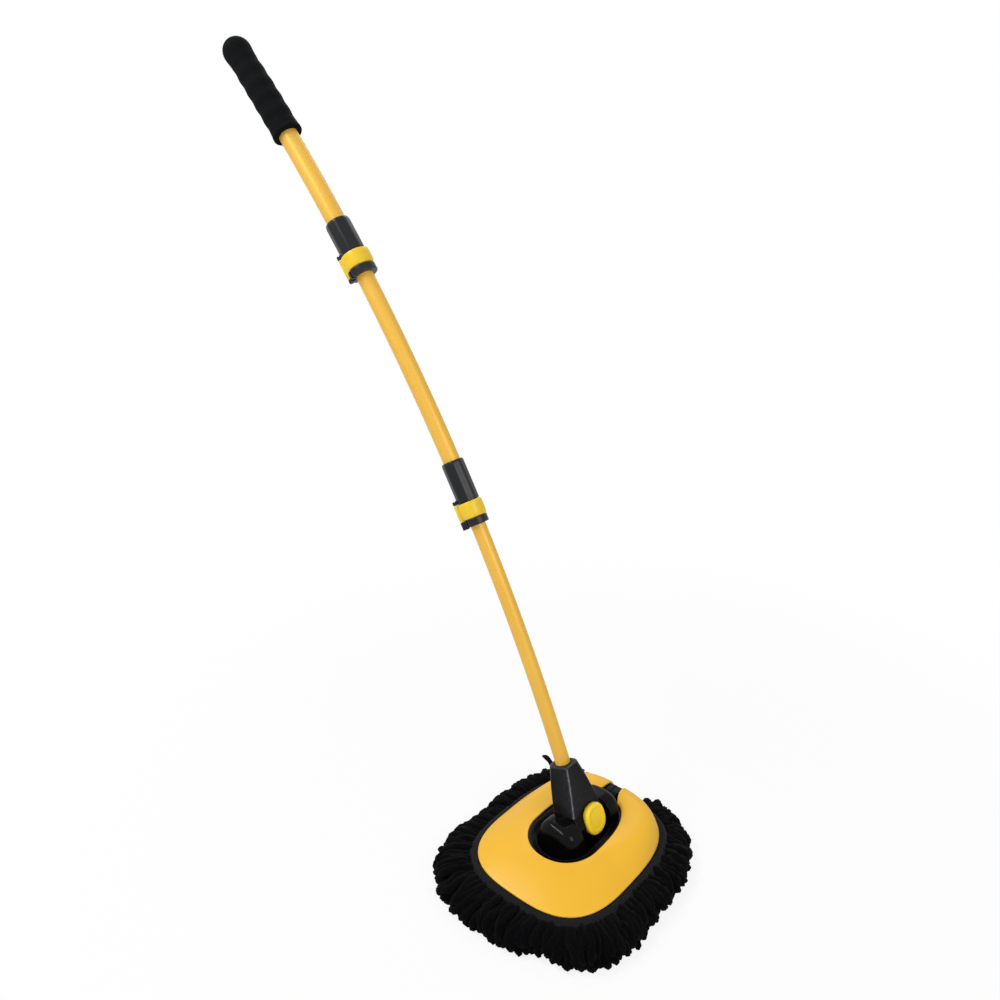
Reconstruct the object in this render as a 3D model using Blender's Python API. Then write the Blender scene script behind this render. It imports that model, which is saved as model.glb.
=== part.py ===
"""A car wash mop on a bent telescopic pole.

The frame is in metres with +Z up. The origin lies on the floor, under the middle of the mop head.
The head's hinge runs along Y, and the pole leans towards -X. The pole is an arc of one circle, so its
three tubes slide into each other by turning about that circle's centre.
"""
import math
from dataclasses import dataclass

import bmesh
import bpy
from mathutils import Matrix, Vector

# How a colour as the eye reads it becomes a share of light
EYE_SCALE = 255
EYE_OFFSET = 0.055
EYE_POWER = 2.4

# Clearances, and how far a cut runs past the face that it opens
GAP = 0.0003
OVERRUN = 0.002

# Head cover, seen from above: its outer edge and the edge of the opening for the hinge
COVER_HALF_WIDTH = 0.096
COVER_FRONT = 0.098
COVER_REAR = 0.115
COVER_CENTRE_Y = -0.006
COVER_FRONT_POWER = 2.9
COVER_REAR_POWER = 3.2
COVER_EDGE_Z = 0.0358
COVER_CROWN_Z = 0.0555
COVER_WALL = 0.0025
COVER_SIDE_SLOPE_POWER = 1.5
COVER_REAR_SLOPE_POWER = 5.0
COVER_REAR_BLEND_POWER = 1.4
COVER_ROW_SHARES = (0.0, 0.18, 0.4, 0.62, 0.84, 1.0)
OPENING_HALF_WIDTH = 0.049
OPENING_FRONT = 0.072
OPENING_REAR = 0.073
OPENING_POWER = 2.4
SLOT_WIDTH = 0.0155
SLOT_FLARE = 0.005
SLOT_RUN_IN = 0.008
HEAD_COLUMNS = 48

# Base plate, with the tray that the hinge stands in
HUB_Y = 0.024
PLATE_INSET = 0.0025
PLATE_BOTTOM_Z = 0.0253
PLATE_THICKNESS = 0.0042
TRAY_UNDERLAP = 0.003
TRAY_SINK = 0.0007
TRAY_RIM_WIDTH = 0.0118
TRAY_RIM_FALL = 0.0038
TRAY_DRAFT = 0.0022
TONGUE_SIDE_GAP = 0.0015
TONGUE_DROP = 0.004
TONGUE_GROOVE = 0.0022
TONGUE_SHARES = (-1.0, 0.0, 0.5, 0.8, 1.0)

# Hinge
PIVOT_Z = 0.060
BARREL_RADIUS = 0.0205
BARREL_LENGTH = 0.056
EAR_LENGTH = 0.026
EAR_HALF_WIDTH = 0.029
EAR_RISE = 0.0192
EAR_SHOULDER_DROP = 0.008
EAR_FILLET = 0.009
EAR_SIDE_GAP = 0.0005
EAR_POWER = 2.6
EAR_STEPS = 12
EAR_FILLET_STEPS = 4
PIN_RADIUS = 0.0035
PIN_BLIND_DEPTH = 0.016
PIN_REAR_REACH = 0.0195
CAP_RADIUS = 0.0065
CAP_THICKNESS = 0.004
CAP_FACE_SHARE = 0.86
CAP_SHOULDER_SHARE = 0.5
CAP_CROWN_SHARE = 0.8

# Lock: a toothed wheel on the pin and a yoke that the button carries
WHEEL_RADIUS = 0.0082
WHEEL_TOOTH = 0.0011
WHEEL_TEETH = 24
WHEEL_WIDTH = 0.009
TOOTH_POINTS = 4
TOOTH_TOP_POINTS = (1, 2)
TOOTH_MIDDLE = 1.5
YOKE_WIDTH = 0.008
YOKE_BAR = 0.0032
YOKE_TOOTH_GAP = 0.0004
YOKE_SIDE_GAP = 0.0006
YOKE_TEETH = 6
YOKE_STEM_HEIGHT = 0.012
BUTTON_TRAVEL = 0.0025
BUTTON_WIDTH = 0.036
BUTTON_HEIGHT = 0.039
BUTTON_LIFT = 0.0008
LOCK_SIDE = 0.005
BUTTON_SEAT = 0.0145
BUTTON_FACE = 0.025
BUTTON_EDGE = 0.003
BUTTON_RIM_WIDTH = 0.0032
BUTTON_DISH = 0.0006
BUTTON_SOCKET_DEPTH = 0.0018
BUTTON_SIDES = 32
BUTTON_EDGE_STEPS = 3
CAVITY_GAP = 0.0004
SPRING_RADIUS = 0.0036
SPRING_WIRE = 0.00055
SPRING_TURNS = 4
SPRING_POINTS = 8
SPRING_SIDE = 0.0125
SPRING_SEAT = 0.0064

# Neck
NECK_HALF_DEPTH = 0.0172
NECK_TOP_HALF_DEPTH = 0.0174
NECK_FOOT_STEP = 0.0008
NECK_TOP_HALF_WIDTH = 0.0137
NECK_SHOULDER = 0.014
NECK_TOP = 0.078
NECK_FLARE_POWER = 1.15
NECK_CORNER = 0.0062
NECK_TOP_EDGE = 0.0014
NECK_SOCKET_FLOOR = 0.040
NECK_RISE_SHARES = (0.15, 0.3, 0.45, 0.6, 0.75, 0.88)
TUBE_SCREW_HEIGHT = 0.060
SCREW_RADIUS = 0.0017
SCREW_HEAD_RADIUS = 0.0034
SCREW_HEAD_HEIGHT = 0.0022
SCREW_TIP_SHARE = 0.25
SCREW_CROWN_SHARE = 0.7

# Pole: its lean at the hinge, the radius of its bend, and heights measured along it from the hinge
POLE_LEAN = math.radians(20.9)
POLE_BEND_RADIUS = 2.615
LOWER_TUBE_RADIUS = 0.0095
MIDDLE_TUBE_RADIUS = 0.0110
UPPER_TUBE_RADIUS = 0.0125
TUBE_WALL = 0.0010
LOWER_TUBE_SHOWS = 0.320
MIDDLE_TUBE_SHOWS = 0.254
UPPER_TUBE_SHOWS = 0.130
LOWER_TUBE_OVERLAP = 0.049
MIDDLE_TUBE_OVERLAP = 0.0435
TUBE_STEP = 0.040
TUBE_SIDES = 16
GUIDE_LENGTH = 0.008
GUIDE_SPIGOT = 0.015
GUIDE_WALL = 0.0017
END_PLUG_FLANGE = 0.002

# Clamps
CLAMP_TURN = math.radians(-45)
LOWER_SLEEVE_RADIUS = 0.0142
LOWER_LEVER_RADIUS = 0.0149
LOWER_SLEEVE_LENGTH = 0.0524
UPPER_SLEEVE_RADIUS = 0.0161
UPPER_LEVER_RADIUS = 0.0181
UPPER_SLEEVE_LENGTH = 0.0447
COLLAR_WALL = 0.0025
CLAMP_RING_LENGTH = 0.0092
TUBE_SEAT_DEPTH = 0.0015
LEVER_LENGTH = 0.0207
LEVER_END_GAP = 0.0004
LEVER_CLEARANCE = 0.0005
LEVER_SWEEP = math.radians(168)
LEVER_STEPS = 12
LEVER_CROWN = 0.0009
LEVER_LIP = 0.0016
LEVER_LIP_STEPS = 3
KNUCKLE_MARGIN = 0.0018
CLAMP_PIN_RADIUS = 0.0014
CLAMP_PIN_HEAD = 0.0024
CLAMP_PIN_HEAD_HEIGHT = 0.0012
CLAMP_LUG_HEIGHT = 0.005
LUG_STEPS = 8
CLAMP_SPLIT_WIDTH = 0.0024
CLAMP_SPLIT_TURN = math.radians(-120)
CLAMP_EDGE = 0.0012
FLUTE_DEPTH = 0.0005
FLUTES = 8
CLAMP_SIDES = 24

# Grip
GRIP_LENGTH = 0.152
GRIP_PAST_TUBE = 0.018
GRIP_RADIUS = 0.0182
GRIP_LIP_RADIUS = 0.0193
GRIP_LIP_LENGTH = 0.006
GRIP_BULB_RADIUS = 0.0187
GRIP_BULB_LENGTH = 0.034
GRIP_WAIST = 0.0011
GRIP_WAIST_POWER = 3
GRIP_CEILING = 0.014
GRIP_EDGE = 0.0018
GRIP_SIDES = 20
GRIP_WAVE = 0.0004
GRIP_WAVES = 5
GRIP_WAVE_STEPS = 3
GRIP_DOME_STEPS = 4

# Mop
PAD_INSET = 0.0023
PAD_EDGE = 0.006
PAD_EDGE_STEPS = 3
HEM_TUCK = 0.0022
HEM_REACH = 0.0105
HEM_DROP = 0.0064
HEM_THICKNESS = 0.0014
BACKING_WIDTH = 0.0045
BACKING_BOTTOM_Z = 0.004
BACKING_TOP_Z = 0.023
BACKING_STEPS = 10
SECTOR_GAP = 0.0006
STRAND_ROWS = 3
STRANDS_PER_ROW = 104
STRAND_LENGTH = 0.040
STRAND_TOP_Z = 0.0198
STRAND_ROW_PITCH = 0.0064
STRAND_RADIUS = 0.0027
STRAND_TIP_RADIUS = 0.0021
STRAND_LIFT = 0.003
STRAND_DROOP = 0.0035
STRAND_KNEE_SHARE = 0.42
STRAND_ROOT_SHARE = 0.5
STRAND_SWAY = 0.0022
STRAND_CORNER_TURNS = tuple(math.radians(a) for a in (90, 210, 330))

# Cover screws, placed by their turn around the head and their share of the way to the cover's edge
COVER_SCREW_TURNS = tuple(math.radians(a) for a in (38, 142, 218, 322))
COVER_SCREW_SHARE = 0.5
COVER_BOSS_RADIUS = 0.0042
BOSS_SINK_SHARE = 0.25
NEAR_TURN = 0.5
COVER_SCREW_BITE = 0.010

FULL_TURN = 2 * math.pi
QUARTER_TURN = math.pi / 2
OUTLINE_SAMPLES = 720
SMOOTH_ANGLE = math.radians(35)
HEIGHT_SAMPLES = 24

PLATE_TOP_Z = PLATE_BOTTOM_Z + PLATE_THICKNESS
NECK_FOOT_HALF_WIDTH = BARREL_LENGTH / 2 - NECK_FOOT_STEP
CLAMP_GRIP_LENGTH = CLAMP_RING_LENGTH + LEVER_LENGTH + 2 * LEVER_END_GAP
LOWER_CLAMP_BASE = NECK_TOP + LOWER_TUBE_SHOWS
LOWER_TUBE_TOP = LOWER_CLAMP_BASE + CLAMP_GRIP_LENGTH + LOWER_TUBE_OVERLAP
UPPER_CLAMP_BASE = LOWER_CLAMP_BASE + CLAMP_GRIP_LENGTH + LOWER_SLEEVE_LENGTH + MIDDLE_TUBE_SHOWS
MIDDLE_TUBE_TOP = UPPER_CLAMP_BASE + CLAMP_GRIP_LENGTH + MIDDLE_TUBE_OVERLAP
GRIP_BASE = UPPER_CLAMP_BASE + CLAMP_GRIP_LENGTH + UPPER_SLEEVE_LENGTH + UPPER_TUBE_SHOWS
GRIP_TOP = GRIP_BASE + GRIP_LENGTH
UPPER_TUBE_TOP = GRIP_TOP - GRIP_PAST_TUBE
BUTTON_BACK = BUTTON_SEAT + BUTTON_TRAVEL + GAP
PIN_BORE = PIN_RADIUS + GAP
CAVITY_HALF_WIDTH = max(WHEEL_WIDTH, YOKE_WIDTH) / 2 + CAVITY_GAP
YOKE_HALF_HEIGHT = WHEEL_RADIUS + YOKE_SIDE_GAP + YOKE_BAR
YOKE_FAR_REACH = WHEEL_RADIUS + YOKE_TOOTH_GAP + WHEEL_TOOTH + YOKE_BAR
YOKE_NEAR_FACE = WHEEL_RADIUS + BUTTON_TRAVEL + YOKE_SIDE_GAP


@dataclass(frozen=True)
class Oval:
    """A rounded outline that may be longer to the rear (+Y) than to the front."""

    half_width: float
    front: float
    rear: float
    front_power: float
    rear_power: float
    centre_y: float

    def point(self, angle, grow, z):
        """The place at an angle measured from +X, on the outline made larger by grow."""
        across = math.cos(angle)
        along = math.sin(angle)
        reach = self.rear if along > 0 else self.front
        power = self.rear_power if along > 0 else self.front_power
        x = math.copysign(abs(across) ** (2 / power), across) * (self.half_width + grow)
        y = math.copysign(abs(along) ** (2 / power), along) * (reach + grow)
        return Vector((x, self.centre_y + y, z))

    def loop(self, count, grow, z):
        """A ring of places around the outline."""
        return [self.point(FULL_TURN * i / count, grow, z) for i in range(count)]

    def outward(self, angle, grow):
        """The direction in plan that points straight out of the outline."""
        step = FULL_TURN / OUTLINE_SAMPLES
        run = self.point(angle + step, grow, 0) - self.point(angle - step, grow, 0)
        return Vector((run.y, -run.x, 0)).normalized()

    def even_angles(self, count, first, last, grow):
        """Angles in the middles of equal stretches of the outline between two angles."""
        angles = [first + (last - first) * i / OUTLINE_SAMPLES for i in range(OUTLINE_SAMPLES + 1)]
        places = [self.point(a, grow, 0) for a in angles]
        lengths = [0.0]
        for here, there in zip(places, places[1:]):
            lengths.append(lengths[-1] + (there - here).length)
        chosen = []
        at = 0
        for i in range(count):
            wanted = lengths[-1] * (i + 0.5) / count
            while lengths[at + 1] < wanted:
                at += 1
            part = (wanted - lengths[at]) / (lengths[at + 1] - lengths[at])
            chosen.append(angles[at] + (angles[at + 1] - angles[at]) * part)
        return chosen


COVER_OVAL = Oval(COVER_HALF_WIDTH, COVER_FRONT, COVER_REAR, COVER_FRONT_POWER, COVER_REAR_POWER,
                  COVER_CENTRE_Y)
OPENING_OVAL = Oval(OPENING_HALF_WIDTH, OPENING_FRONT, OPENING_REAR, OPENING_POWER, OPENING_POWER,
                    HUB_Y)


# Scene and materials

def clear_scene():
    """Start from an empty scene."""
    for item in list(bpy.data.objects):
        bpy.data.objects.remove(item, do_unlink=True)


def make_material(name, colour, roughness, metallic=0.0):
    """A finish whose colour is given as the eye reads it, from 0 to 255."""
    finish = bpy.data.materials.new(name)
    finish.use_nodes = True
    shader = finish.node_tree.nodes["Principled BSDF"]
    shares = [c / EYE_SCALE for c in colour]
    linear = [((c + EYE_OFFSET) / (1 + EYE_OFFSET)) ** EYE_POWER for c in shares]
    shader.inputs["Base Color"].default_value = (*linear, 1.0)
    shader.inputs["Roughness"].default_value = roughness
    shader.inputs["Metallic"].default_value = metallic
    finish.diffuse_color = (*linear, 1.0)
    return finish


def make_materials():
    """The finishes of the whole product."""
    return {
        "cover": make_material("golden_plastic", (242, 190, 65), 0.38),
        "lever": make_material("lemon_plastic", (244, 211, 80), 0.34),
        "button": make_material("button_plastic", (238, 200, 60), 0.34),
        "tube": make_material("gold_paint", (246, 194, 83), 0.3, 0.25),
        "black": make_material("black_plastic", (30, 31, 33), 0.3),
        "guide": make_material("grey_plastic", (120, 120, 118), 0.45),
        "foam": make_material("black_foam", (24, 25, 27), 0.85),
        "pile": make_material("black_chenille", (14, 14, 15), 0.95),
        "hem": make_material("grey_binding", (52, 53, 55), 0.8),
        "steel": make_material("bright_steel", (190, 192, 196), 0.3, 1.0),
    }


def add_empty(name, parent=None, place=None):
    """An axis that pieces hang on."""
    empty = bpy.data.objects.new(name, None)
    bpy.context.scene.collection.objects.link(empty)
    empty.parent = parent
    if place is not None:
        empty.matrix_basis = place
    return empty


def add_object(name, bm, finish, parent=None):
    """Turn a mesh being built into a named object, with round faces shaded smooth."""
    bmesh.ops.recalc_face_normals(bm, faces=bm.faces)
    mesh = bpy.data.meshes.new(name)
    bm.to_mesh(mesh)
    bm.free()
    if finish is not None:
        mesh.materials.append(finish)
    mesh.shade_smooth()
    mesh.set_sharp_from_angle(angle=SMOOTH_ANGLE)
    item = bpy.data.objects.new(name, mesh)
    bpy.context.scene.collection.objects.link(item)
    item.parent = parent
    return item


def add_helper(name, bm, parent=None):
    """A hidden solid that is cut out of a piece or joined to it."""
    helper = add_object(name, bm, None, parent)
    helper.hide_render = True
    helper.display_type = "WIRE"
    return helper


def combine(item, helper, operation="DIFFERENCE"):
    """Cut a helper out of a piece, or join it on with UNION."""
    step = item.modifiers.new(helper.name, "BOOLEAN")
    step.solver = "EXACT"
    step.operation = operation
    step.object = helper


# Shapes

def add_loft(bm, rings, closed=False):
    """Skin a row of rings. Its ends are capped, unless the row closes on itself."""
    rows = [[bm.verts.new(place) for place in ring] for ring in rings]
    pairs = list(zip(rows, rows[1:]))
    if closed:
        pairs.append((rows[-1], rows[0]))
    for low, high in pairs:
        for i in range(len(low)):
            j = (i + 1) % len(low)
            bm.faces.new((low[i], low[j], high[j], high[i]))
    if not closed:
        bm.faces.new(rows[0][::-1])
        bm.faces.new(rows[-1])


def add_prism(bm, outline, sweep):
    """A flat outline pushed along a straight line."""
    add_loft(bm, [outline, [place + sweep for place in outline]])


def add_box(bm, low, high):
    """A block between two corners."""
    outline = [Vector((low[0], low[1], low[2])), Vector((high[0], low[1], low[2])),
               Vector((high[0], high[1], low[2])), Vector((low[0], high[1], low[2]))]
    add_prism(bm, outline, Vector((0, 0, high[2] - low[2])))


def add_rod(bm, start, end, radius, sides):
    """A straight round bar."""
    axis = end - start
    turn = axis.to_track_quat("Z", "Y").to_matrix().to_4x4()
    place = Matrix.Translation((start + end) / 2) @ turn
    bmesh.ops.create_cone(bm, cap_ends=True, segments=sides, radius1=radius, radius2=radius,
                          depth=axis.length, matrix=place)


def circle(radius, sides):
    """Flat places around a circle."""
    return [(radius * math.cos(FULL_TURN * i / sides), radius * math.sin(FULL_TURN * i / sides))
            for i in range(sides)]


def rounded_rectangle(half_u, half_v, corner, steps=4):
    """Flat places around a rectangle with round corners."""
    corner = min(corner, half_u, half_v)
    places = []
    for quarter, (side_u, side_v) in enumerate(((1, 1), (-1, 1), (-1, -1), (1, -1))):
        for i in range(steps + 1):
            angle = QUARTER_TURN * (quarter + i / steps)
            places.append((side_u * (half_u - corner) + corner * math.cos(angle),
                           side_v * (half_v - corner) + corner * math.sin(angle)))
    return places


def on_pole(u, v, s):
    """A place beside the pole, seen from the centre of its bend.

    u points out of the bend, v to the rear, and s is the height along the pole from the hinge.
    """
    turn = s / POLE_BEND_RADIUS
    reach = POLE_BEND_RADIUS + u
    return Vector((reach * math.cos(turn), v, reach * math.sin(turn)))


def near_hinge(u, v, s):
    """The same place seen from the hinge."""
    return on_pole(u, v, s) - Vector((POLE_BEND_RADIUS, 0, 0))


def pole_ring(radius, s, sides):
    """A ring around the pole."""
    return [on_pole(u, v, s) for u, v in circle(radius, sides)]


def pole_heights(low, high):
    """Heights along the pole, close enough for its bend to look smooth."""
    steps = max(1, math.ceil((high - low) / TUBE_STEP))
    return [low + (high - low) * i / steps for i in range(steps + 1)]


# Head

def cover_place(angle, share):
    """A place on top of the cover, at a share of the way from its opening to its outer edge."""
    inner = OPENING_OVAL.point(angle, 0, 0)
    outer = COVER_OVAL.point(angle, 0, 0)
    rear = max(0.0, COVER_OVAL.outward(angle, 0).y) ** COVER_REAR_BLEND_POWER
    power = COVER_SIDE_SLOPE_POWER + (COVER_REAR_SLOPE_POWER - COVER_SIDE_SLOPE_POWER) * rear
    place = inner.lerp(outer, share)
    place.z = COVER_CROWN_Z - (COVER_CROWN_Z - COVER_EDGE_Z) * share ** power
    return place


def cover_height_near(centre, radius, angle):
    """The lowest height of the cover's top within a radius of one of its places."""
    lowest = centre.z
    for i in range(-HEIGHT_SAMPLES, HEIGHT_SAMPLES + 1):
        for j in range(HEIGHT_SAMPLES + 1):
            place = cover_place(angle + NEAR_TURN * i / HEIGHT_SAMPLES, j / HEIGHT_SAMPLES)
            if (place - centre).to_2d().length <= radius * (1 + 1 / HEIGHT_SAMPLES):
                lowest = min(lowest, place.z)
    return lowest


def make_head_cover(finishes):
    """The golden shell, with its rear slot and a screw boss near each corner."""
    bm = bmesh.new()
    rows = []
    for share in COVER_ROW_SHARES:
        angles = [FULL_TURN * i / HEAD_COLUMNS for i in range(HEAD_COLUMNS)]
        rows.append([bm.verts.new(cover_place(a, share)) for a in angles])
    for inner, outer in zip(rows, rows[1:]):
        for i in range(HEAD_COLUMNS):
            j = (i + 1) % HEAD_COLUMNS
            bm.faces.new((inner[i], outer[i], outer[j], inner[j]))
    cover = add_object("head_cover", bm, finishes["cover"])
    wall = cover.modifiers.new("wall", "SOLIDIFY")
    wall.thickness = COVER_WALL
    wall.offset = -1
    wall.use_even_offset = True

    bm = bmesh.new()
    slot = SLOT_WIDTH / 2
    inside = OPENING_OVAL.centre_y + OPENING_REAR - SLOT_RUN_IN
    flare = OPENING_OVAL.centre_y + OPENING_REAR + SLOT_FLARE
    outside = COVER_CENTRE_Y + COVER_REAR + OVERRUN
    floor = PLATE_TOP_Z
    outline = [Vector((-slot - SLOT_FLARE, inside, floor)), Vector((slot + SLOT_FLARE, inside, floor)),
               Vector((slot, flare, floor)), Vector((slot, outside, floor)),
               Vector((-slot, outside, floor)), Vector((-slot, flare, floor))]
    add_prism(bm, outline, Vector((0, 0, COVER_CROWN_Z + OVERRUN - floor)))
    combine(cover, add_helper("cover_slot", bm))

    bosses = bmesh.new()
    holes = bmesh.new()
    for turn in COVER_SCREW_TURNS:
        centre = cover_place(turn, COVER_SCREW_SHARE)
        foot = Vector((centre.x, centre.y, PLATE_TOP_Z + GAP))
        top = cover_height_near(centre, COVER_BOSS_RADIUS, turn) - COVER_WALL * BOSS_SINK_SHARE
        add_rod(bosses, foot, Vector((centre.x, centre.y, top)), COVER_BOSS_RADIUS, 12)
        add_rod(holes, foot - Vector((0, 0, OVERRUN)), foot + Vector((0, 0, COVER_SCREW_BITE + GAP)),
                SCREW_RADIUS + GAP, 8)
    combine(cover, add_helper("cover_bosses", bosses), "UNION")
    combine(cover, add_helper("cover_boss_holes", holes))


def make_cover_screws(finishes):
    """Four screws that come up through the base plate into the cover's bosses."""
    for number, turn in enumerate(COVER_SCREW_TURNS, start=1):
        centre = cover_place(turn, COVER_SCREW_SHARE)
        foot = Vector((centre.x, centre.y, PLATE_BOTTOM_Z + GAP))
        profile = [(SCREW_HEAD_RADIUS, 0), (SCREW_HEAD_RADIUS, SCREW_HEAD_HEIGHT),
                   (SCREW_RADIUS, SCREW_HEAD_HEIGHT),
                   (SCREW_RADIUS, PLATE_THICKNESS + COVER_SCREW_BITE - SCREW_RADIUS),
                   (SCREW_RADIUS * SCREW_TIP_SHARE, PLATE_THICKNESS + COVER_SCREW_BITE - GAP)]
        bm = bmesh.new()
        add_loft(bm, [[Vector((x, y, height)) for x, y in circle(radius, 8)]
                      for radius, height in profile])
        screw = add_object(f"cover_screw_{number}", bm, finishes["steel"])
        screw.location = foot


def ear_profile(inset, y):
    """The domed outline of a hinge ear, made smaller by inset."""
    half = EAR_HALF_WIDTH - inset
    shoulder = PIVOT_Z - EAR_SHOULDER_DROP
    rise = EAR_RISE + EAR_SHOULDER_DROP - inset
    places = [Vector((half, y, PLATE_BOTTOM_Z + PLATE_THICKNESS / 2))]
    for i in range(EAR_STEPS + 1):
        angle = math.pi * i / EAR_STEPS
        x = math.copysign(abs(math.cos(angle)) ** (2 / EAR_POWER), math.cos(angle)) * half
        places.append(Vector((x, y, shoulder + abs(math.sin(angle)) ** (2 / EAR_POWER) * rise)))
    places.append(Vector((-half, y, PLATE_BOTTOM_Z + PLATE_THICKNESS / 2)))
    return places


def make_ear(name, side):
    """One of the two ears that hold the hinge pin, rounded over on its outer side."""
    face = HUB_Y + side * (BARREL_LENGTH / 2 + EAR_SIDE_GAP)
    rings = [ear_profile(0, face)]
    for i in range(EAR_FILLET_STEPS + 1):
        angle = QUARTER_TURN * i / EAR_FILLET_STEPS
        inset = EAR_FILLET * (1 - math.cos(angle))
        rings.append(ear_profile(inset, face + side * (EAR_LENGTH - EAR_FILLET * (1 - math.sin(angle)))))
    bm = bmesh.new()
    add_loft(bm, rings)
    return add_helper(name, bm)


def make_tongue():
    """The grooved tongue that fills the cover's rear slot."""
    half = SLOT_WIDTH / 2 - TONGUE_SIDE_GAP
    groove = TONGUE_GROOVE / 2
    foot = PLATE_BOTTOM_Z + PLATE_THICKNESS / 2
    start = HUB_Y + OPENING_REAR - TRAY_RIM_WIDTH / 2
    inner = cover_place(QUARTER_TURN, 0).y
    outer = cover_place(QUARTER_TURN, 1).y
    end_share = (outer - HEM_TUCK - 2 * GAP - inner) / (outer - inner)
    rings = []
    for share in TONGUE_SHARES:
        place = cover_place(QUARTER_TURN, max(0.0, share) * end_share)
        y = place.y if share >= 0 else start
        top = place.z - TONGUE_DROP
        section = [(-half, foot), (half, foot), (half, top), (groove, top), (groove, top - groove),
                   (-groove, top - groove), (-groove, top), (-half, top)]
        rings.append([Vector((x, y, z)) for x, z in section])
    bm = bmesh.new()
    add_loft(bm, rings)
    return add_helper("tongue", bm)


def make_base_plate(finishes):
    """The black base: a plate, the tray around the hinge, the two ears and the rear tongue."""
    rim_z = COVER_CROWN_Z - COVER_WALL - GAP - TRAY_SINK
    lip_z = rim_z - TRAY_RIM_FALL
    pocket = -TRAY_RIM_WIDTH
    rings = [
        COVER_OVAL.loop(HEAD_COLUMNS, -PLATE_INSET, PLATE_BOTTOM_Z),
        COVER_OVAL.loop(HEAD_COLUMNS, -PLATE_INSET, PLATE_TOP_Z),
        OPENING_OVAL.loop(HEAD_COLUMNS, TRAY_UNDERLAP, PLATE_TOP_Z),
        OPENING_OVAL.loop(HEAD_COLUMNS, TRAY_UNDERLAP, rim_z),
        OPENING_OVAL.loop(HEAD_COLUMNS, -TRAY_UNDERLAP, rim_z),
        OPENING_OVAL.loop(HEAD_COLUMNS, pocket, lip_z),
        OPENING_OVAL.loop(HEAD_COLUMNS, pocket - TRAY_DRAFT, PLATE_TOP_Z),
    ]
    bm = bmesh.new()
    add_loft(bm, rings)
    plate = add_object("base_plate", bm, finishes["black"])
    combine(plate, make_ear("front_ear", -1), "UNION")
    combine(plate, make_ear("rear_ear", 1), "UNION")
    combine(plate, make_tongue(), "UNION")

    front = HUB_Y - BARREL_LENGTH / 2 - EAR_SIDE_GAP
    rear = HUB_Y + BARREL_LENGTH / 2 + EAR_SIDE_GAP
    bm = bmesh.new()
    add_rod(bm, Vector((0, front - PIN_BLIND_DEPTH, PIVOT_Z)), Vector((0, rear + EAR_LENGTH, PIVOT_Z)),
            PIN_BORE, 16)
    combine(plate, add_helper("ear_bore", bm))
    bm = bmesh.new()
    add_rod(bm, Vector((0, rear + EAR_LENGTH - CAP_THICKNESS, PIVOT_Z)),
            Vector((0, rear + EAR_LENGTH + OVERRUN, PIVOT_Z)), CAP_RADIUS + GAP, 20)
    combine(plate, add_helper("cap_recess", bm))

    shanks = bmesh.new()
    heads = bmesh.new()
    for turn in COVER_SCREW_TURNS:
        centre = cover_place(turn, COVER_SCREW_SHARE)
        low = Vector((centre.x, centre.y, PLATE_BOTTOM_Z - OVERRUN))
        add_rod(shanks, low, Vector((centre.x, centre.y, PLATE_TOP_Z + OVERRUN)), SCREW_RADIUS + GAP, 8)
        seat = PLATE_BOTTOM_Z + GAP + SCREW_HEAD_HEIGHT + GAP
        add_rod(heads, low, Vector((centre.x, centre.y, seat)), SCREW_HEAD_RADIUS + GAP, 12)
    combine(plate, add_helper("plate_screw_holes", shanks))
    combine(plate, add_helper("plate_head_recesses", heads))


def make_hinge_pin(finishes):
    """The steel pin, the plug over its rear end and the toothed wheel that is keyed to it."""
    front = HUB_Y - BARREL_LENGTH / 2 - EAR_SIDE_GAP - PIN_BLIND_DEPTH + GAP
    rear = HUB_Y + BARREL_LENGTH / 2 + EAR_SIDE_GAP + PIN_REAR_REACH
    bm = bmesh.new()
    add_rod(bm, Vector((0, front - HUB_Y, 0)), Vector((0, rear - HUB_Y, 0)), PIN_RADIUS, 16)
    pin = add_object("pivot_pin", bm, finishes["steel"])
    pin.location = (0, HUB_Y, PIVOT_Z)

    bm = bmesh.new()
    seat = HUB_Y + BARREL_LENGTH / 2 + EAR_SIDE_GAP + EAR_LENGTH - CAP_THICKNESS + GAP
    foot = rear + GAP
    profile = [(PIN_RADIUS, foot), (PIN_RADIUS, seat), (CAP_RADIUS, seat),
               (CAP_RADIUS, seat + CAP_THICKNESS * CAP_SHOULDER_SHARE),
               (CAP_RADIUS * CAP_FACE_SHARE, seat + CAP_THICKNESS * CAP_CROWN_SHARE)]
    add_loft(bm, [[Vector((x, y - HUB_Y, z)) for x, z in circle(radius, 20)] for radius, y in profile])
    cap = add_object("pin_cap", bm, finishes["black"])
    cap.location = (0, HUB_Y, PIVOT_Z)

    bm = bmesh.new()
    outline = []
    for i in range(WHEEL_TEETH * TOOTH_POINTS):
        radius = WHEEL_RADIUS if i % TOOTH_POINTS in TOOTH_TOP_POINTS else WHEEL_RADIUS - WHEEL_TOOTH
        angle = FULL_TURN * (i - TOOTH_MIDDLE) / (WHEEL_TEETH * TOOTH_POINTS)
        outline.append(Vector((radius * math.cos(angle), -WHEEL_WIDTH / 2, radius * math.sin(angle))))
    add_prism(bm, outline, Vector((0, WHEEL_WIDTH, 0)))
    wheel = add_object("detent_wheel", bm, finishes["guide"])
    wheel.location = (0, HUB_Y + LOCK_SIDE, PIVOT_Z)
    bm = bmesh.new()
    half = WHEEL_WIDTH / 2 + OVERRUN
    add_rod(bm, Vector((0, -half, 0)), Vector((0, half, 0)), PIN_BORE, 16)
    bore = add_helper("wheel_bore", bm)
    bore.location = wheel.location
    combine(wheel, bore)


# Neck

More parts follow.
